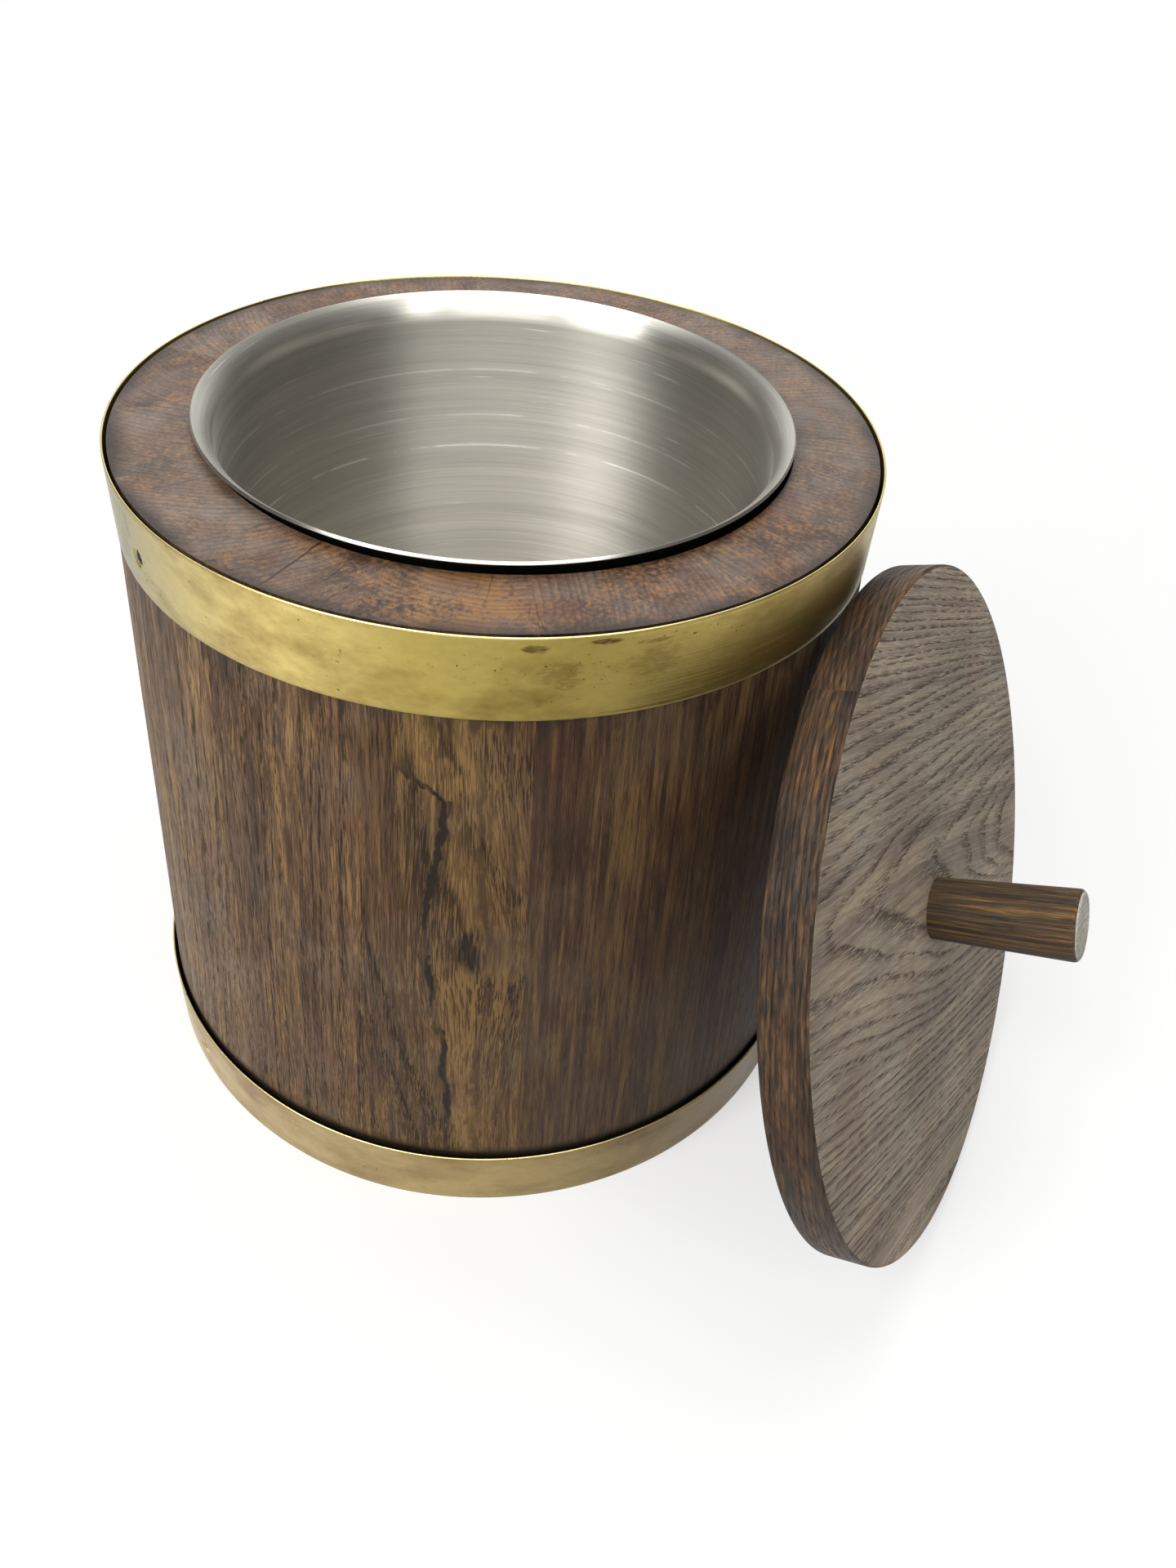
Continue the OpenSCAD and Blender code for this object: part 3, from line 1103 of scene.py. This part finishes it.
@dataclass
class Body:
    """The glued staves and the base inside them.

    Attributes:
        boards: Names of the base board nodes, front to back.
        arris: Width of the eased edges.
        fit: Room round the base's tongue in its groove.
        groove_columns: How many columns make the round of the groove.
        end_grain: How far a face looks up or down to show end grain, as a share.
        staves: Names of the stave nodes, in order round the body.
        height: Height of the staves.
        foot: Outside radius at the floor.
        mouth: Outside radius at the top.
        thick: Thickness of the staves.
    """

    boards: tuple[str, ...] = ("base_board_front", "base_board_middle", "base_board_back")
    arris: float = 0.04 * MM
    fit: float = 0.05 * MM
    groove_columns: int = 256
    end_grain: float = 0.6
    staves: list[str] = field(init=False)
    height: float = field(init=False)
    foot: float = field(init=False)
    mouth: float = field(init=False)
    thick: float = field(init=False)

    def __post_init__(self) -> None:
        """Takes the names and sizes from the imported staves."""
        self.staves = sorted(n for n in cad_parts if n.startswith("stave_"))
        points = np.vstack([node_points(n) for n in self.staves])
        radius = off_axis(points)
        self.height = float(points[:, 2].max())
        self.foot = float(radius.max())
        at_top = radius[points[:, 2] > self.height - NEAR]
        self.mouth = float(at_top.max())
        self.thick = float(at_top.max() - at_top.min())

    def sector(self, name: str) -> tuple[float, float]:
        """Finds where a packed stave starts and how wide it is.

        Args:
            name: The stave's node.

        Returns:
            Its first bearing and its sweep, in radians, anticlockwise from +X.
        """
        points = node_points(name)
        middle = points[:, :2].mean(0)
        turn = math.atan2(middle[1], middle[0])
        angles = np.arctan2(points[:, 1], points[:, 0]) - turn
        angles = (angles + math.pi) % (2 * math.pi) - math.pi
        return turn + float(angles.min()), float(angles.max() - angles.min())

    def stave_tree(self) -> bpy.types.NodeTree:
        """Bends a block of wood into a sector of the body.

        Returns:
            The geometry tree, with its sizes as inputs.
        """
        tree, size = new_tree("stave", ("Start", "Sweep", "Foot", "Mouth", "Thick", "Height"), "Wood")
        block = add(tree, "GeometryNodeMeshCube", {"Vertices X": 15, "Vertices Y": 6, "Vertices Z": 25})
        across, inward, up = Value(add(tree, "GeometryNodeInputPosition")) + 0.5
        angle = across * size["Sweep"] + size["Start"]
        radius = up * (size["Mouth"] - size["Foot"]) + size["Foot"] - inward * size["Thick"]
        bent = on_circle(radius, angle, up * size["Height"])
        placed = add(tree, "GeometryNodeSetPosition", {"Geometry": block, "Position": bent})
        return end_tree(tree, placed, size["Wood"])

    def groove(self) -> bpy.types.Mesh:
        """Makes the form of the groove in the staves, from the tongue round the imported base.

        Returns:
            A disc that is as wide and as thick as the groove.
        """
        points = np.vstack([node_points(n) for n in self.boards])
        radius = off_axis(points)
        tongue = points[radius > radius.max() - NEAR, 2]
        low, high = float(tongue.min()) - self.fit, float(tongue.max()) + self.fit
        return disc("groove", float(radius.max()) + self.fit, low, high, self.groove_columns)

    def planks(self) -> list[Plank]:
        """Gives each stave its character, in order from the left side to the front, the right and the back.

        Returns:
            One plank for each stave.
        """
        # Light is partly the wood's tone, partly painted light and shade: lit left side, lid's shadow on the
        # right.
        # The grey of the left and right staves is partly painted sheen on the top ring.
        kinds = (
            dict(sawing=Sawing.RIFT, light=1.2, grey=0.3),
            dict(sawing=Sawing.RIFT, light=1.18, grey=0.25, heart=(20, 0.02)),
            dict(sawing=Sawing.RIFT, light=0.98, grey=0.1, red=0.1),
            dict(sawing=Sawing.FLAT, light=0.76, heart=(8, 0.0), knot=(6.6, 108, 14),
                 streak=(0.6, -6.3, 0.95)),
            dict(sawing=Sawing.QUARTER, light=0.53, red=0.1, wave=0.2),
            dict(sawing=Sawing.QUARTER, light=0.54, red=0.12, wave=0.2),
            dict(sawing=Sawing.QUARTER, light=0.5, red=0.1, wave=0.3),
            dict(sawing=Sawing.QUARTER, light=0.5, grey=0.25, wave=0.4),
            dict(sawing=Sawing.QUARTER, light=0.55, grey=0.4, wave=0.5),
            dict(sawing=Sawing.QUARTER, light=0.6, grey=0.4, wave=0.5),
        )
        at_back = (0, 2, 1, 5, 4)
        planks = []
        for index, name in enumerate(self.staves):
            start, sweep = self.sector(name)
            outward = Vector((math.cos(start + sweep / 2), math.sin(start + sweep / 2), 0))
            across = Vector((-outward.y, outward.x, 0))
            place = Matrix((across, outward, UP)).transposed().to_4x4()
            place.translation = outward * (self.foot + self.mouth) / 2
            kind = kinds[index if index < len(kinds) else at_back[index % len(at_back)]]
            planks.append(Plank(place=place, seed=3.7 * index + 1.3, **kind))
        return planks

    def base_board(self, name: str) -> tuple[bpy.types.Mesh, Matrix]:
        """Copies a packed base board and joins its faces.

        Args:
            name: The board's node.

        Returns:
            The mesh, and the place of its plank, with the grain from side to side.
        """
        low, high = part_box(name)
        place = Matrix.Rotation(math.radians(90), 4, "Z") @ Matrix.Rotation(math.radians(90), 4, "X")
        place.translation = Vector((0, (low.y + high.y) / 2, 0))
        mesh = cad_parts[name].data.copy()
        mesh.name = "sawn_" + name
        form = bmesh.new()
        form.from_mesh(mesh)
        bmesh.ops.remove_doubles(form, verts=form.verts, dist=0.01 * MM)
        form.to_mesh(mesh)
        form.free()
        return mesh, place

    def build(self) -> None:
        """Makes the staves and the base boards."""
        wood, ring, base = (finish.material() for finish in (STAVE_WOOD, RING_WOOD, BASE_WOOD))
        tree = self.stave_tree()
        for name, plank in zip(self.staves, self.planks()):
            start, sweep = self.sector(name)
            sizes = {"Start": start, "Sweep": sweep, "Foot": self.foot, "Mouth": self.mouth,
                     "Thick": self.thick, "Height": self.height, "Wood": wood}
            mesh = carve(grow("turned_" + name, tree, sizes, self.arris), self.groove())
            dress(mesh, [wood, ring], lambda face: abs(face.normal.z) > self.end_grain)
            plank.mark(mesh)
            show(mesh, "bucket", name, sharp_deg=20)
        for index, name in enumerate(self.boards):
            mesh, place = self.base_board(name)
            dress(mesh, [base])
            Plank(place=place, sawing=Sawing.FLAT, seed=71.0 + index).mark(mesh)
            show(mesh, "bucket", name, sharp_deg=30)


@dataclass
class Band:
    """A straight brass band round the tapered body, and the nails that hold it.

    Attributes:
        node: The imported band.
        nails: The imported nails.
        finish: Its brass.
        seed: Number that makes its waves its own.
        edge: Width of its rubbed edges.
        rim: How far a face looks up or down to belong to the cut edge, as a share.
        waves: Slight waves of the sheet: how many round the band, how the seed turns them, and how deep.
        dimple: How far the brass is punched in at a nail.
        dimple_wide: Radius of the dimple.
        dimple_slope: Width of its sloping side.
        columns: How many columns make the band's round.
        rows: How many rows make its height.
        grid: Spacing of the finer columns and rows at a nail.
        fine_columns: How many finer columns lie on each side of a nail.
        fine_rows: How many finer rows lie above and below a nail.
        shank: Radius of a nail's shank.
    """

    node: str
    nails: str
    finish: BrassFinish
    seed: float
    edge: float = 0.15 * MM
    rim: float = 0.5
    waves: tuple[tuple[int, int, float], ...] = ((3, 1, 0.12 * MM), (7, -2, 0.06 * MM))
    dimple: float = 0.7 * MM
    dimple_wide: float = 2.9 * MM
    dimple_slope: float = 1.1 * MM
    columns: int = 360
    rows: int = 18
    grid: float = 0.4 * MM
    fine_columns: int = 9
    fine_rows: int = 8
    shank: float = 0.8 * MM

    def nail_places(self) -> list[tuple[float, float]]:
        """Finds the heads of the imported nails, one on each side.

        Returns:
            The bearing and the height of each head.
        """
        points = node_points(self.nails)
        radius = off_axis(points)
        heads = points[radius > radius.max() - NEAR]
        places = []
        for side in (1, -1):
            middle = heads[heads[:, 1] * side < 0].mean(0)
            places.append((math.atan2(middle[1], middle[0]), float(middle[2])))
        return places

    def nail_tree(self) -> bpy.types.NodeTree:
        """Drives nails in all round at one height: a domed head on a round shank.

        Returns:
            The geometry tree, with its sizes as inputs.
        """
        sizes = ("Count", "Start", "Face", "Height", "Head", "Shank", "Length")
        tree, size = new_tree("band_nails", sizes, "Iron")
        head, length = size["Head"], size["Length"]
        disc_sizes = {"Vertices": 24, "Side Segments": 3, "Fill Segments": 6, "Radius": head,
                      "Depth": head * 0.5}
        x, y, z = Value(add(tree, "GeometryNodeInputPosition"))
        share = work_out("SQRT", x * x + y * y) / head
        fall = share * share * (head * -0.22) * work_out("GREATER_THAN", z, 0.0)
        domed = add(tree, "GeometryNodeSetPosition", {
            "Geometry": add(tree, "GeometryNodeMeshCylinder", disc_sizes),
            "Offset": add(tree, "ShaderNodeCombineXYZ", {2: fall})})
        shank_sizes = {"Vertices": 12, "Radius": size["Shank"], "Depth": length}
        shank = add(tree, "GeometryNodeTransform", {
            "Geometry": add(tree, "GeometryNodeMeshCylinder", shank_sizes),
            "Translation": add(tree, "ShaderNodeCombineXYZ", {2: length * -0.5})})
        nail = add(tree, "GeometryNodeJoinGeometry", {0: domed})
        tree.links.new(shank.outputs[0], nail.inputs[0])
        count = add(tree, "FunctionNodeFloatToInt", {0: size["Count"]})
        angle = Value(add(tree, "GeometryNodeInputIndex")) * (2 * math.pi / size["Count"]) + size["Start"]
        sunk = head * -0.25 + size["Face"]
        spots = add(tree, "GeometryNodeSetPosition", {
            "Geometry": add(tree, "GeometryNodeMeshLine", {"Count": count}),
            "Position": on_circle(sunk, angle, size["Height"])})
        outward = on_circle(1.0, angle)
        turned = add(tree, "FunctionNodeAlignRotationToVector", {"Vector": outward}, axis="Z")
        driven = {"Points": spots, "Instance": nail, "Rotation": turned}
        return end_tree(tree, add(tree, "GeometryNodeInstanceOnPoints", driven), size["Iron"])

    def sheet(self, nails: list[tuple[float, float]]) -> bpy.types.Mesh:
        """Makes the band, with finer columns and rows at the nails.

        Args:
            nails: The bearing and the height of each nail's head.

        Returns:
            The mesh.
        """
        low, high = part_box(self.node)
        outer = (high.x - low.x) / 2
        inner = float(off_axis(node_points(self.node)).min())
        fine = range(-self.fine_columns, self.fine_columns + 1)
        angles = {round(turn, 6) for turn in even_turn(self.columns)}
        for bearing, _ in nails:
            angles |= {round((bearing + k * self.grid / outer) % (2 * math.pi), 6) for k in fine}
        heights = set(np.round(np.linspace(low.z + self.edge, high.z - self.edge, self.rows), 6))
        fine = range(-self.fine_rows, self.fine_rows + 1)
        heights |= {round(nails[0][1] + k * self.grid, 6) for k in fine}
        rows = sorted(heights)
        outside = [(outer - self.edge, low.z)] + [(outer, z) for z in rows] + [(outer - self.edge, high.z)]
        inside = [(inner + self.edge, high.z)] + [(inner, z) for z in reversed(rows)]
        inside += [(inner + self.edge, low.z)]

        def bend(angle: float, z: float) -> float:
            """Moves the sheet in by its waves, and by the dimples at the nails.

            Args:
                angle: The bearing.
                z: The height.

            Returns:
                The extra radius.
            """
            inward = 0.0
            for count, turn, deep in self.waves:
                inward += deep * (1 - math.sin(count * angle + turn * self.seed))
            depth = 0.0
            for bearing, nail_z in nails:
                aside = (angle - bearing + math.pi) % (2 * math.pi) - math.pi
                far = math.hypot(aside * outer, z - nail_z)
                share = min(1.0, max(0.0, (self.dimple_wide - far) / self.dimple_slope))
                depth = max(depth, share * share * (3 - 2 * share))
            return -inward - depth * self.dimple

        return lathe("sheet_" + self.node, outside + inside, sorted(angles), True, bend)

    def build(self) -> None:
        """Makes the band and its nails."""
        nails = self.nail_places()
        mesh = self.sheet(nails)
        finishes = [self.finish.material(), EDGE_BRASS.material()]
        dress(mesh, finishes, lambda face: abs(face.normal.z) > self.rim)
        show(mesh, "bucket", self.node, sharp_deg=50)

        points = node_points(self.nails)
        radius = off_axis(points)
        bearing, height = nails[0]
        sizes = {"Count": float(len(nails)), "Start": bearing, "Face": float(radius.max()), "Height": height,
                 "Head": float(points[:, 2].max() - points[:, 2].min()) / 2, "Shank": self.shank,
                 "Length": float(radius.max() - radius.min()), "Iron": NAIL_IRON.material()}
        mesh = grow("driven_" + self.nails, self.nail_tree(), sizes)
        show(mesh, "bucket", self.nails, sharp_deg=40)


@dataclass
class Liner:
    """The steel liner: floor, round corner, wall and flared lip.

    Attributes:
        flare: Radius of the flare's inside.
        turn_deg: How far the lip turns out from upright.
        corner: Radius of the outside of the corner at the floor.
        thick: Thickness of the steel.
        crown: How far the middle of the lip's cut edge stands out.
        polish: How far above the start of the flare the lip's polish starts.
        columns: How many columns make the round.
    """

    flare: float = 9.7 * MM
    turn_deg: float = 58.0
    corner: float = 8.0 * MM
    thick: float = 0.8 * MM
    crown: float = 0.1 * MM
    polish: float = 1.5 * MM
    columns: int = 192

    def build(self) -> None:
        """Makes the liner."""
        low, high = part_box("liner")
        middle = Vector(((low.x + high.x) / 2, (low.y + high.y) / 2, 0))
        turn, stop_deg = math.radians(self.turn_deg), 180 - self.turn_deg
        under = self.flare - self.thick
        wall = (high.x - low.x) / 2 - under * (1 - math.cos(turn))
        corner_middle = (wall - self.corner, low.z + self.corner)
        lip_middle = (wall + under, high.z - self.flare * math.sin(turn))
        outside = [(0.0, low.z)] + arc(corner_middle, self.corner, -90, 0, 10)
        outside += arc(lip_middle, under, 180, stop_deg, 16)
        inside = arc(lip_middle, self.flare, stop_deg, 180, 16)
        inside += arc(corner_middle, self.corner - self.thick, 0, -90, 10) + [(0.0, low.z + self.thick)]
        edge_r, edge_z = (np.array(outside[-1]) + np.array(inside[0])) / 2
        tip = (edge_r + self.crown * math.sin(turn), edge_z + self.crown * math.cos(turn))
        mesh = lathe("brushed_liner", outside + [tip] + inside, even_turn(self.columns))
        mesh.transform(Matrix.Translation(middle))

        # The outside below the lip's cut edge takes the darker steel, which is painted shade.
        def on_shaded_outside(face: bpy.types.MeshPolygon) -> bool:
            """Whether a face is on the outside, below the lip's cut edge."""
            outer = (face.center - middle).xy.dot(face.normal.xy) > 0 or face.normal.z < -0.5
            return outer and face.center.z < outside[-1][1]

        lip_z = lip_middle[1] + self.polish
        dress(mesh, [finish.material(lip_z) for finish in (LINER_STEEL, SHADED_OUTSIDE_STEEL)], on_shaded_outside)
        show(mesh, "liner", "liner", sharp_deg=60)


@dataclass
class Lid:
    """The round lid of edge-glued boards, with its peg.

    Attributes:
        boards: Names of the board nodes, from the lower to the upper.
        grain_deg: Angle of the boards below the level line of the leaning lid.
        edge: Radius of the eased edges.
        slack: How far the rim and the peg keep inside their packed size.
        fit: Room round the peg's tenon in its hole.
        inset: Width of the strip inside the eased edges that keeps the faces flat.
        joint: Longest edge that belongs to the rim. A longer one is a joint between boards.
        peg_ease: Radius of the eased edge of the peg's end.
        peg_columns: How many columns make the peg's round.
        hole_columns: How many columns make the hole's round.
    """

    boards: tuple[str, ...] = ("lid_board_lower", "lid_board_middle", "lid_board_upper")
    grain_deg: float = 27.0
    edge: float = 1.0 * MM
    slack: float = 0.32 * MM
    fit: float = 0.05 * MM
    inset: float = 0.4 * MM
    joint: float = 8.0 * MM
    peg_ease: float = 1.6 * MM
    peg_columns: int = 64
    hole_columns: int = 48

    def place(self) -> tuple[Matrix, float, float]:
        """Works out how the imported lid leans.

        Returns:
            The lid's place, with Z out of its face, X along the boards and Y across them, its radius and its
            thickness.
        """
        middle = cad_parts["lid_board_middle"].data
        largest = max(middle.polygons, key=lambda face: face.area * (face.normal.z > 0.05))
        normal = largest.normal.copy()
        level = Vector((-normal.y, normal.x, 0)).normalized()
        up = normal.cross(level)
        points = np.vstack([node_points(n) for n in self.boards])
        spans = [points @ np.array(axis) for axis in (level, up, normal)]
        centre = normal * float(spans[2].max())
        for span, axis in zip(spans[:2], (level, up)):
            centre += axis * float((span.max() + span.min()) / 2)
        grain = math.radians(self.grain_deg)
        along = level * math.cos(grain) - up * math.sin(grain)
        place = Matrix((along, normal.cross(along), normal)).transposed().to_4x4()
        place.translation = centre
        wide, thick = (float(span.max() - span.min()) for span in (spans[0], spans[2]))
        return place, wide / 2 - self.slack, thick

    def outline(self, low: float, high: float, radius: float) -> list[Vector]:
        """Draws the outline of a board: the lid's round between two joints.

        Args:
            low: Place of the lower joint across the boards.
            high: Place of the upper joint.
            radius: The lid's radius.

        Returns:
            The points of the outline.
        """
        first, last = (math.asin(max(-1.0, min(1.0, across / radius))) for across in (low, high))
        steps = max(16, int((last - first) / math.radians(1.5)))
        right = [first + (last - first) * i / steps for i in range(steps + 1)]
        same = 0.05 * MM
        outline = []
        for turn in right + [math.pi - t for t in reversed(right)]:
            point = Vector((radius * math.cos(turn), radius * math.sin(turn), 0))
            if not outline or (point - outline[-1]).length > same:
                outline.append(point)
        if (outline[0] - outline[-1]).length < same:
            outline.pop()
        return outline

    def board(self, name: str, place: Matrix, radius: float, thick: float) -> bpy.types.Mesh:
        """Makes one board of the lid.

        Args:
            name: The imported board.
            place: The lid's place.
            radius: The lid's radius.
            thick: The lid's thickness.

        Returns:
            The mesh, in place.
        """
        across = [(place.inverted() @ v.co).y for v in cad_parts[name].data.vertices]
        form = bmesh.new()
        face = form.faces.new([form.verts.new(p) for p in self.outline(min(across), max(across), radius)])
        back = bmesh.ops.extrude_face_region(form, geom=[face])["geom"]
        back = [v for v in back if isinstance(v, bmesh.types.BMVert)]
        bmesh.ops.translate(form, verts=back, vec=(0, 0, -thick))
        bmesh.ops.recalc_face_normals(form, faces=form.faces)
        exact = 0.001 * MM
        rims = [e for e in form.edges
                if abs(e.verts[0].co.z - e.verts[1].co.z) < exact and e.calc_length() < self.joint
                and all(abs(v.co.xy.length - radius) < exact for v in e.verts)]
        bmesh.ops.bevel(form, geom=rims, offset=self.edge, segments=4, profile=0.5, affect="EDGES")
        least_area = (10 * MM) ** 2
        flats = [f for f in form.faces if abs(f.normal.z) > 0.999 and f.calc_area() > least_area]
        bmesh.ops.inset_individual(form, faces=flats, thickness=self.inset)
        mesh = bpy.data.meshes.new("brushed_" + name)
        form.to_mesh(mesh)
        form.free()
        mesh.transform(place)
        return mesh

    def build(self) -> None:
        """Makes the boards and the peg."""
        wood, rim = LID_WOOD.material(), RIM_WOOD.material()
        place, radius, thick = self.place()
        outward = place.to_3x3() @ UP
        grain = place @ Matrix(((0, 0, 1, 0), (1, 0, 0, 0), (0, 1, 0, 0), (0, 0, 0, 1)))
        outer = dict(sawing=Sawing.RIFT)
        # The middle board's lower light is partly painted shade round the peg.
        kinds = (outer, dict(sawing=Sawing.FLAT, heart=(13, 0.06), light=0.92, knot=(0, -6, 24)), outer)
        peg_place, tenon = self.peg(place, thick)
        for index, (name, kind) in enumerate(zip(self.boards, kinds)):
            hole = disc("hole", tenon + self.fit, -2 * thick, thick, self.hole_columns)
            hole.transform(peg_place)
            mesh = carve(self.board(name, place, radius, thick), hole)
            dress(mesh, [wood, rim], lambda face: abs(face.normal.dot(outward)) < 0.95)
            Plank(place=grain, seed=40.0 + 5 * index, **kind).mark(mesh)
            show(mesh, "lid", name, sharp_deg=40)

    def peg(self, lid_place: Matrix, thick: float) -> tuple[Matrix, float]:
        """Makes the turned peg, with its tenon through the lid.

        Args:
            lid_place: The lid's place.
            thick: The lid's thickness.

        Returns:
            The peg's place, with its foot at 0 and Z along it, and the radius of its tenon.
        """
        points = np.array([lid_place.inverted() @ Vector(p) for p in node_points("lid_peg")])
        aside = (points.min(0) + points.max(0)) / 2 * (1, 1, 0)
        place, points = lid_place @ Matrix.Translation(aside), points - aside
        radius, height = off_axis(points), points[:, 2]
        length, end = float(height.max()), float(radius.max()) - self.slack
        foot = float(radius[abs(height) < NEAR].max())
        tenon = float(radius[height < -NEAR].max())
        ease, steps = self.peg_ease, 12
        profile = [(0.0, -thick), (tenon, -thick), (tenon, 0.0), (foot, 0.0)]
        for step in range(1, steps + 1):
            profile.append((foot + (end - foot) * step / steps, (length - ease) * step / steps))
        profile += arc((end - ease, length - ease), ease, 15, 90, 5)
        profile += [((end + self.slack) * 0.5, length), (0.0, length)]
        mesh = lathe("turned_lid_peg", profile, even_turn(self.peg_columns))
        mesh.transform(place)
        outward = place.to_3x3() @ UP
        finishes = [PEG_WOOD.material(), PEG_END_WOOD.material()]
        dress(mesh, finishes, lambda face: face.normal.dot(outward) > 0.7)
        Plank(place=place, sawing=Sawing.FLAT, seed=90.0, heart=(3, 0.0)).mark(mesh)
        show(mesh, "lid", "lid_peg", sharp_deg=40)
        return place, tenon


@dataclass(frozen=True)
class Lamp:
    """A large soft lamp.

    Attributes:
        name: Its name.
        place: Where it hangs.
        target: Where it points.
        size: Its width and height.
        power: Its power, in watts.
        card: Whether it is a card that shows only in reflections.
    """

    name: str
    place: tuple[float, float, float]
    target: tuple[float, float, float]
    size: tuple[float, float]
    power: float
    card: bool = False

    def build(self) -> None:
        """Hangs the lamp."""
        data = bpy.data.lights.new(self.name, "AREA")
        data.shape = "RECTANGLE"
        data.size, data.size_y = self.size
        data.energy = self.power
        lamp = bpy.data.objects.new(self.name, data)
        lamp.visible_diffuse = not self.card
        bpy.context.scene.collection.objects.link(lamp)
        turn = (Vector(self.target) - Vector(self.place)).to_track_quat("-Z", "Y").to_matrix().to_4x4()
        lamp.matrix_world = Matrix.Translation(self.place) @ turn


@dataclass
class Studio:
    """The camera, the floor and the light.

    Attributes:
        eye: Where the camera stands.
        right: The picture's right, in the row's frame.
        up: The picture's up.
        focal_px: Focal length, in pixels of a picture of picture_px on its long side.
        picture_px: Pixels on the picture's long side.
        reach: Half the floor's width.
        floor_matt: The floor's colour as it lights the object.
        floor_seen: The floor's colour as the camera and the metal see it.
        white: Share of plain white, without the shadow, in the floor near the object and far off.
        white_mm: How far off the first share ends and the second one starts, in mm.
        glow: Strength of the light from all round.
        sides: Strength of the room's sides as the metal sees them. Overhead, in front and behind it is white.
        sides_start: How far to the side the room starts to darken and is dark, as shares.
        lamps: The lamps.
    """

    eye: tuple[float, float, float] = (0.0, -0.3012, 0.3433)
    right: tuple[float, float, float] = (0.9968, -0.0397, 0.0700)
    up: tuple[float, float, float] = (-0.0254, 0.6708, 0.7412)
    focal_px: float = 1500.0
    picture_px: float = 1920.0
    reach: float = 6.0
    floor_matt: str = "#828280"
    floor_seen: str = "#f2f2f0"
    white: tuple[float, float] = (0.58, 0.98)
    white_mm: tuple[float, float] = (250.0, 800.0)
    glow: float = 0.42
    sides: float = 0.04
    sides_start: tuple[float, float] = (0.32, 0.72)
    lamps: tuple[Lamp, ...] = (
        Lamp("left_window", (-1.3, -1.1, 1.5), (0, 0, 0.1), (1.0, 1.5), 36.0),
        Lamp("front_card", (0.0, -1.6, 1.1), (0, 0, 0.15), (1.3, 1.0), 11.0, card=True),
        Lamp("right_window", (0.95, -1.25, 1.5), (0, 0, 0.1), (0.4, 1.4), 8.0),
        Lamp("overhead", (-0.1, 0.3, 1.7), (0, 0, 0.1), (1.2, 1.0), 12.0),
    )

    def camera(self) -> None:
        """Stands the camera at the photograph's viewpoint."""
        data = bpy.data.cameras.new("view")
        data.sensor_width = 36.0
        data.lens = self.focal_px / self.picture_px * data.sensor_width
        data.clip_start = 0.01
        camera = bpy.data.objects.new("view", data)
        bpy.context.scene.collection.objects.link(camera)
        right, up = Vector(self.right).normalized(), Vector(self.up).normalized()
        camera.matrix_world = Matrix((right, up, right.cross(up))).transposed().to_4x4()
        camera.matrix_world.translation = Vector(self.eye)
        bpy.context.scene.camera = camera

    def floor(self) -> None:
        """Lays a pale floor that shows white to the camera and to the metal, and keeps part of the shadow."""
        mesh = bpy.data.meshes.new("floor")
        corners = [(x * self.reach, y * self.reach, 0) for x, y in ((-1, -1), (1, -1), (1, 1), (-1, 1))]
        mesh.from_pydata(corners, [], [(0, 1, 2, 3)])
        material, tree = new_material("pale_floor")
        path = add(tree, "ShaderNodeLightPath").outputs
        seen = work_out("MAXIMUM", Value(path["Is Camera Ray"]), Value(path["Is Glossy Ray"]))
        paint = seen.blend(linear(self.floor_matt), linear(self.floor_seen))
        far = add(tree, "ShaderNodeVectorMath", {0: row_place(tree)}, operation="LENGTH").outputs["Value"]
        mixed = add(tree, "ShaderNodeMixShader", {
            0: seen * Value(far).spread(*self.white_mm, *self.white),
            1: add(tree, "ShaderNodeBsdfDiffuse", {"Color": paint}),
            2: add(tree, "ShaderNodeEmission", {"Color": linear(WHITE), "Strength": 1.0})})
        add(tree, "ShaderNodeOutputMaterial", {"Surface": mixed})
        mesh.materials.append(material)
        floor = bpy.data.objects.new("floor", mesh)
        bpy.context.scene.collection.objects.link(floor)
        floor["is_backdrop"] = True

    def light(self) -> None:
        """Soft light from all round and from the lamps."""
        world = bpy.data.worlds.new("studio")
        bpy.context.scene.world = world
        world.use_nodes = True
        tree = world.node_tree
        tree.nodes.clear()
        path = add(tree, "ShaderNodeLightPath").outputs
        aside, _, _ = Value(add(tree, "ShaderNodeTexCoord").outputs["Generated"])
        room = work_out("ABSOLUTE", aside).spread(*self.sides_start, 1.0, self.sides) - self.glow
        strength = Value(path["Is Glossy Ray"]) * room + self.glow
        strength = work_out("MAXIMUM", strength, Value(path["Is Camera Ray"]))
        glow = add(tree, "ShaderNodeBackground", {"Color": linear(WHITE), "Strength": strength})
        add(tree, "ShaderNodeOutputWorld", {"Surface": glow})
        for lamp in self.lamps:
            lamp.build()

    def build(self) -> None:
        """Sets up the picture."""
        self.camera()
        self.floor()
        self.light()
        bpy.context.scene.view_settings.view_transform = "Standard"


def main() -> None:
    """Builds the sub-assemblies in order."""
    logging.basicConfig(level=logging.INFO, format="%(name)s: %(message)s")
    Studio().build()
    Body().build()
    Band("top_band", "top_band_nails", TOP_BRASS, seed=0.4).build()
    Band("bottom_band", "bottom_band_nails", BOTTOM_BRASS, seed=2.1).build()
    Liner().build()
    Lid().build()
    boxes = {"cad": CAD_BOX, "visual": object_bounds()}
    {name: [list(corner) for corner in box] for name, box in boxes.items()}


if __name__ == "__main__":
    main()
